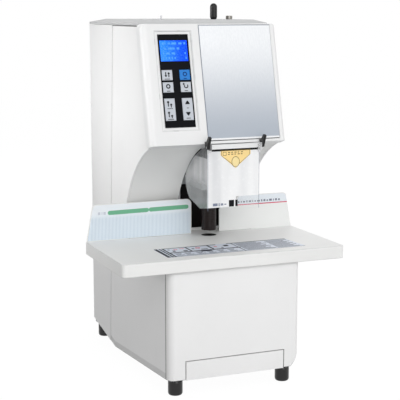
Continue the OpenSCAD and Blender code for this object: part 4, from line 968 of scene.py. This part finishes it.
class RIVETER_OT_guard(bpy.types.Operator):
    """Clear guard with a painted shadow bar and a white bar of painted light along its top, printed film and
    hinge arms
    """

    bl_idname = "riveter.guard"
    bl_label = "Guard"

    def execute(self, context):
        s = context.scene.riveter_sizes
        dress("guard_hood", s.sheet_edge * 1.2, 2)
        dress("hinge_brackets", 0.0006, 2)
        dress("guard_label", 0.0001, 1)
        low, high = (local(point, FENCE_LINE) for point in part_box("guard_hood"))
        shadow_bar_low, shadow_bar_high, lit_lip_low, lit_lip_high = 418.6, 422.2, 422.3, 430.6
        # Painted shadow: a black bar along the guard's top for the shaded gap under the head.
        gap_shadow = Print(FENCE_LINE, GUARD_FRONT, s.print_height * 5.0)
        gap_shadow.bar(low.x + 0.6, shadow_bar_low, high.x - 0.6, shadow_bar_high)
        gap_shadow.done("guard_gap_shadow", "guard", "guard_clear", ["gap_shadow_black"])
        # Painted light: a white bar standing in for the lit lip of the head, over the shaded throat behind
        # the gap.
        lit_lip = Print(FENCE_LINE, GUARD_FRONT - 1.2, 0.0015)
        lit_lip.bar(low.x + 3.2, lit_lip_low, high.x - 3.2, lit_lip_high)
        lit_lip.done("guard_lit_lip", "guard", "guard_clear", ["moulding_white"])
        self.film_marks(Print(FENCE_LINE, GUARD_FRONT + 0.4, s.print_height))
        foot = Print(FENCE_LINE, GUARD_FRONT, s.print_height)
        x, z = low.x, low.z + 6.0
        foot.bar(x + 41.0, z + 0.6, x + 51.0, z + 12.4).bar(x + 53.4, z + 0.6, x + 58.0, z + 12.4)
        foot.use(1).bar(x + 10.0, z + 3.0, x + 19.0, z + 8.0).bar(x + 21.0, z + 3.0, x + 23.0, z + 8.0)
        foot.bar(x + 25.0, z + 3.6, x + 30.0, z + 7.4).bar(x + 32.0, z + 4.6, x + 36.0, z + 6.4)
        foot.bar(x, z - 5.0, x + 0.7, z + 95.0).bar(x + 99.4, z - 5.0, x + 100.0, z + 95.0)
        foot.done("guard_marks", "guard", "guard_clear", ["dark_ink_and_painted_shadow", "ink_grey"])
        return {"FINISHED"}

    def film_marks(self, sheet):
        """Line round the amber film, with an oval, two rows of blocks and a small frame on it."""
        low, high = (local(point, FENCE_LINE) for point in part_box("guard_label"))
        mid, line = (low.x + high.x) / 2.0, 0.8
        half = (high.x - low.x) / 2.0 - 1.2
        top, tip = high.z - 1.0, low.z + 1.8
        side = top - 9.0
        sheet.bar(mid - half, top - line, mid + half, top)
        sheet.bar(mid - half, side, mid - half + line, top - line)
        sheet.bar(mid + half - line, side, mid + half, top - line)
        for turn in (-1, 1):
            outer, inner = mid + turn * half, mid + turn * (half - line)
            sheet.shape((outer, side), (mid, tip), (mid, tip + line * 1.3), (inner, side + 0.2))
        sheet.disc(mid, tip + 9.4, 7.8, 24, 1.25)
        sheet.off += sheet.height * 1000.0
        sheet.use(1).disc(mid, tip + 9.4, 6.9, 24, 1.27).use(0)
        sheet.off -= sheet.height * 1000.0
        for row in range(2):
            z = top - 4.4 - row * 3.4
            for step in range(5):
                x = mid - half + 13.0 + step * 6.2
                sheet.bar(x, z, x + 4.2 - (step + row) % 2, z + 1.6)
        sheet.frame_bar(mid - half + 3.0, top - 9.0, mid - half + 10.0, top - 2.6, line)
        sheet.done("film_marks", "guard", "label_amber", ["ink_brown", "amber_pale"])


class RIVETER_OT_top_fittings(bpy.types.Operator):
    """Clearing rod with its knob, knurled tube inlet and small peg on the lid"""

    bl_idname = "riveter.top_fittings"
    bl_label = "Lid fittings"

    def execute(self, context):
        s = context.scene.riveter_sizes
        coat("clearing_rod")
        dress("clearing_knob", 0.0003, 2, 50.0)
        dress("top_peg", 0.0005, 2)
        dress("tube_inlet", 0.0004, look="knurled_steel")
        low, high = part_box("tube_inlet")
        centre = (low + high) / 2.0
        outer = (high.x - low.x) / 2.0
        ridges = bmesh.new()
        for i in range(s.knurl_count):
            ridge = bmesh.ops.create_cube(ridges, size=1.0)["verts"]
            turn = Matrix.Rotation(2 * math.pi * i / s.knurl_count, 3, "Z")
            bmesh.ops.scale(ridges, vec=(0.0006, 0.0005, 0.0046), verts=ridge)
            bmesh.ops.translate(ridges, vec=(outer - 0.0001, 0, 0), verts=ridge)
            bmesh.ops.rotate(ridges, matrix=turn, verts=ridge)
        bmesh.ops.translate(ridges, vec=(centre.x, centre.y, high.z - 0.0035), verts=ridges.verts)
        place_piece(ridges, "collar_ridges", "base", ["knurled_steel"])
        return {"FINISHED"}


class RIVETER_OT_rear_and_feet(bpy.types.Operator):
    """Rubber feet, power inlet, rocker switch and the cover screws"""

    bl_idname = "riveter.rear_and_feet"
    bl_label = "Feet and rear fittings"

    def execute(self, context):
        dress("rubber_feet", 0.0026, 4, 20.0)
        for node in ("power_socket", "power_switch", "switch_rocker"):
            dress(node, 0.0004)
        dress("cover_screws", 0.0005, 3)
        return {"FINISHED"}


class RIVETER_OT_works(bpy.types.Operator):
    """Frame, press, carriage, motors and other parts inside"""

    bl_idname = "riveter.works"
    bl_label = "Inner works"

    def execute(self, context):
        shown = set(frame["nodes"]) - {n for o in bpy.data.objects for n in o.get("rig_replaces", [])}
        edged = (
            "press_arm", "carriage", "column_frame", "upper_bracket", "lower_bracket", "press_motor",
            "feed_motor", "drill_motor", "power_unit",
        )
        for node in edged:
            dress(node, 0.0006, 2, 40.0)
        coat(*sorted(shown - set(edged)))
        return {"FINISHED"}


class RIVETER_OT_stage(bpy.types.Operator):
    """Floor, white surroundings, lamps and the camera"""

    bl_idname = "riveter.stage"
    bl_label = "Stage and camera"

    def execute(self, context):
        scene = context.scene
        floor = bmesh.new()
        bmesh.ops.create_grid(floor, x_segments=1, y_segments=1, size=FLOOR_SIZE)
        mesh = bpy.data.meshes.new("floor")
        floor.to_mesh(mesh)
        floor.free()
        ground = bpy.data.objects.new("floor", mesh)
        mesh.materials.append(self.pale_ground())
        scene.collection.objects.link(ground)
        self.lamps(scene)
        self.world(scene)
        lens = bpy.data.cameras.new("view")
        lens.lens, lens.sensor_width = CAMERA_LENS, CAMERA_SENSOR
        camera = bpy.data.objects.new("view", lens)
        camera.location = CAMERA_PLACE
        camera.rotation_euler = (math.radians(CAMERA_TILT), 0.0, math.radians(CAMERA_TURN))
        scene.collection.objects.link(camera)
        scene.camera = camera
        scene.view_settings.view_transform = "Standard"
        return {"FINISHED"}

    def seen(self, f):
        """1 where the camera, a mirror or a glass sees the surface."""
        path = f.tree.nodes.new("ShaderNodeLightPath")
        camera, gloss, clear = (
            Field(f, path.outputs[n]) for n in ("Is Camera Ray", "Is Glossy Ray", "Is Transmission Ray")
        )
        return camera.larger(gloss).larger(clear)

    def pale_ground(self):
        """Floor that looks white but keeps the machine's shadow."""
        f = Finish("pale_floor", Base_Color=(0.55, 0.55, 0.55, 1.0), Roughness=0.9, Specular_IOR_Level=0.1)
        glow = f.node("ShaderNodeEmission", values={"Color": WHITE, "Strength": FLOOR_GLOW})
        ground = Field(f, f.shader.outputs[0])
        blend = f.node("ShaderNodeMixShader", values={0: self.seen(f) * FLOOR_SHARE, 1: ground, 2: glow})
        f.tree.links.new(blend.socket, f.tree.nodes["Material Output"].inputs["Surface"])
        return f.material

    def lamps(self, scene):
        for name, place, aim, size, power, spread in LAMPS:
            lamp = bpy.data.lights.new(name, "AREA")
            lamp.shape, lamp.size, lamp.energy, lamp.spread = "DISK", size, power, math.radians(spread)
            holder = bpy.data.objects.new(name, lamp)
            holder.location = place
            holder.rotation_euler = (Vector(aim) - Vector(place)).to_track_quat("-Z", "Y").to_euler()
            scene.collection.objects.link(holder)

    def world(self, scene):
        """Dim white light all round, which the camera, mirrors and glass see as plain white."""
        world = bpy.data.worlds.new("studio")
        scene.world = world
        world.use_nodes = True
        tree = world.node_tree
        base = tree.nodes["Background"]
        base.inputs["Color"].default_value = WHITE
        base.inputs["Strength"].default_value = SURROUND_LIGHT
        white = tree.nodes.new("ShaderNodeBackground")
        white.inputs["Color"].default_value = WHITE
        white.inputs["Strength"].default_value = 1.0
        path = tree.nodes.new("ShaderNodeLightPath")
        two, three = (tree.nodes.new("ShaderNodeMath") for _ in range(2))
        two.operation = three.operation = "MAXIMUM"
        blend = tree.nodes.new("ShaderNodeMixShader")
        for source, target in (
            (path.outputs["Is Camera Ray"], two.inputs[0]),
            (path.outputs["Is Glossy Ray"], two.inputs[1]),
            (two.outputs[0], three.inputs[0]),
            (path.outputs["Is Transmission Ray"], three.inputs[1]),
            (three.outputs[0], blend.inputs[0]),
            (base.outputs[0], blend.inputs[1]),
            (white.outputs[0], blend.inputs[2]),
            (blend.outputs[0], tree.nodes["World Output"].inputs["Surface"]),
        ):
            tree.links.new(source, target)


OPERATORS = (
    RIVETER_OT_stage,
    RIVETER_OT_covers,
    RIVETER_OT_head,
    RIVETER_OT_controls,
    RIVETER_OT_throat,
    RIVETER_OT_table,
    RIVETER_OT_fences,
    RIVETER_OT_guard,
    RIVETER_OT_top_fittings,
    RIVETER_OT_rear_and_feet,
    RIVETER_OT_works,
)


class RIVETER_PT_panel(bpy.types.Panel):
    """Lists the machine's sizes, colours and pieces"""

    bl_idname = "RIVETER_PT_panel"
    bl_label = "Riveting machine"
    bl_space_type = "VIEW_3D"
    bl_region_type = "UI"
    bl_category = "Riveter"

    def draw(self, context):
        column = self.layout.column()
        for group in (context.scene.riveter_sizes, context.scene.riveter_colours):
            for name in group.bl_rna.properties.keys():
                if name not in ("rna_type", "name"):
                    column.prop(group, name)
        for one in OPERATORS:
            column.operator(one.bl_idname)


CLASSES = (RiveterSizes, RiveterColours, *OPERATORS, RIVETER_PT_panel)


def register():
    for one in CLASSES:
        bpy.utils.register_class(one)
    bpy.types.Scene.riveter_sizes = PointerProperty(type=RiveterSizes)
    bpy.types.Scene.riveter_colours = PointerProperty(type=RiveterColours)


def unregister():
    del bpy.types.Scene.riveter_colours
    del bpy.types.Scene.riveter_sizes
    for one in reversed(CLASSES):
        bpy.utils.unregister_class(one)


def main():
    register()
    for one in OPERATORS:
        group, action = one.bl_idname.split(".")
        if getattr(getattr(bpy.ops, group), action)() != {"FINISHED"}:
            raise RuntimeError("The operator " + one.bl_idname + " didn't finish")


if __name__ == "__main__":
    main()
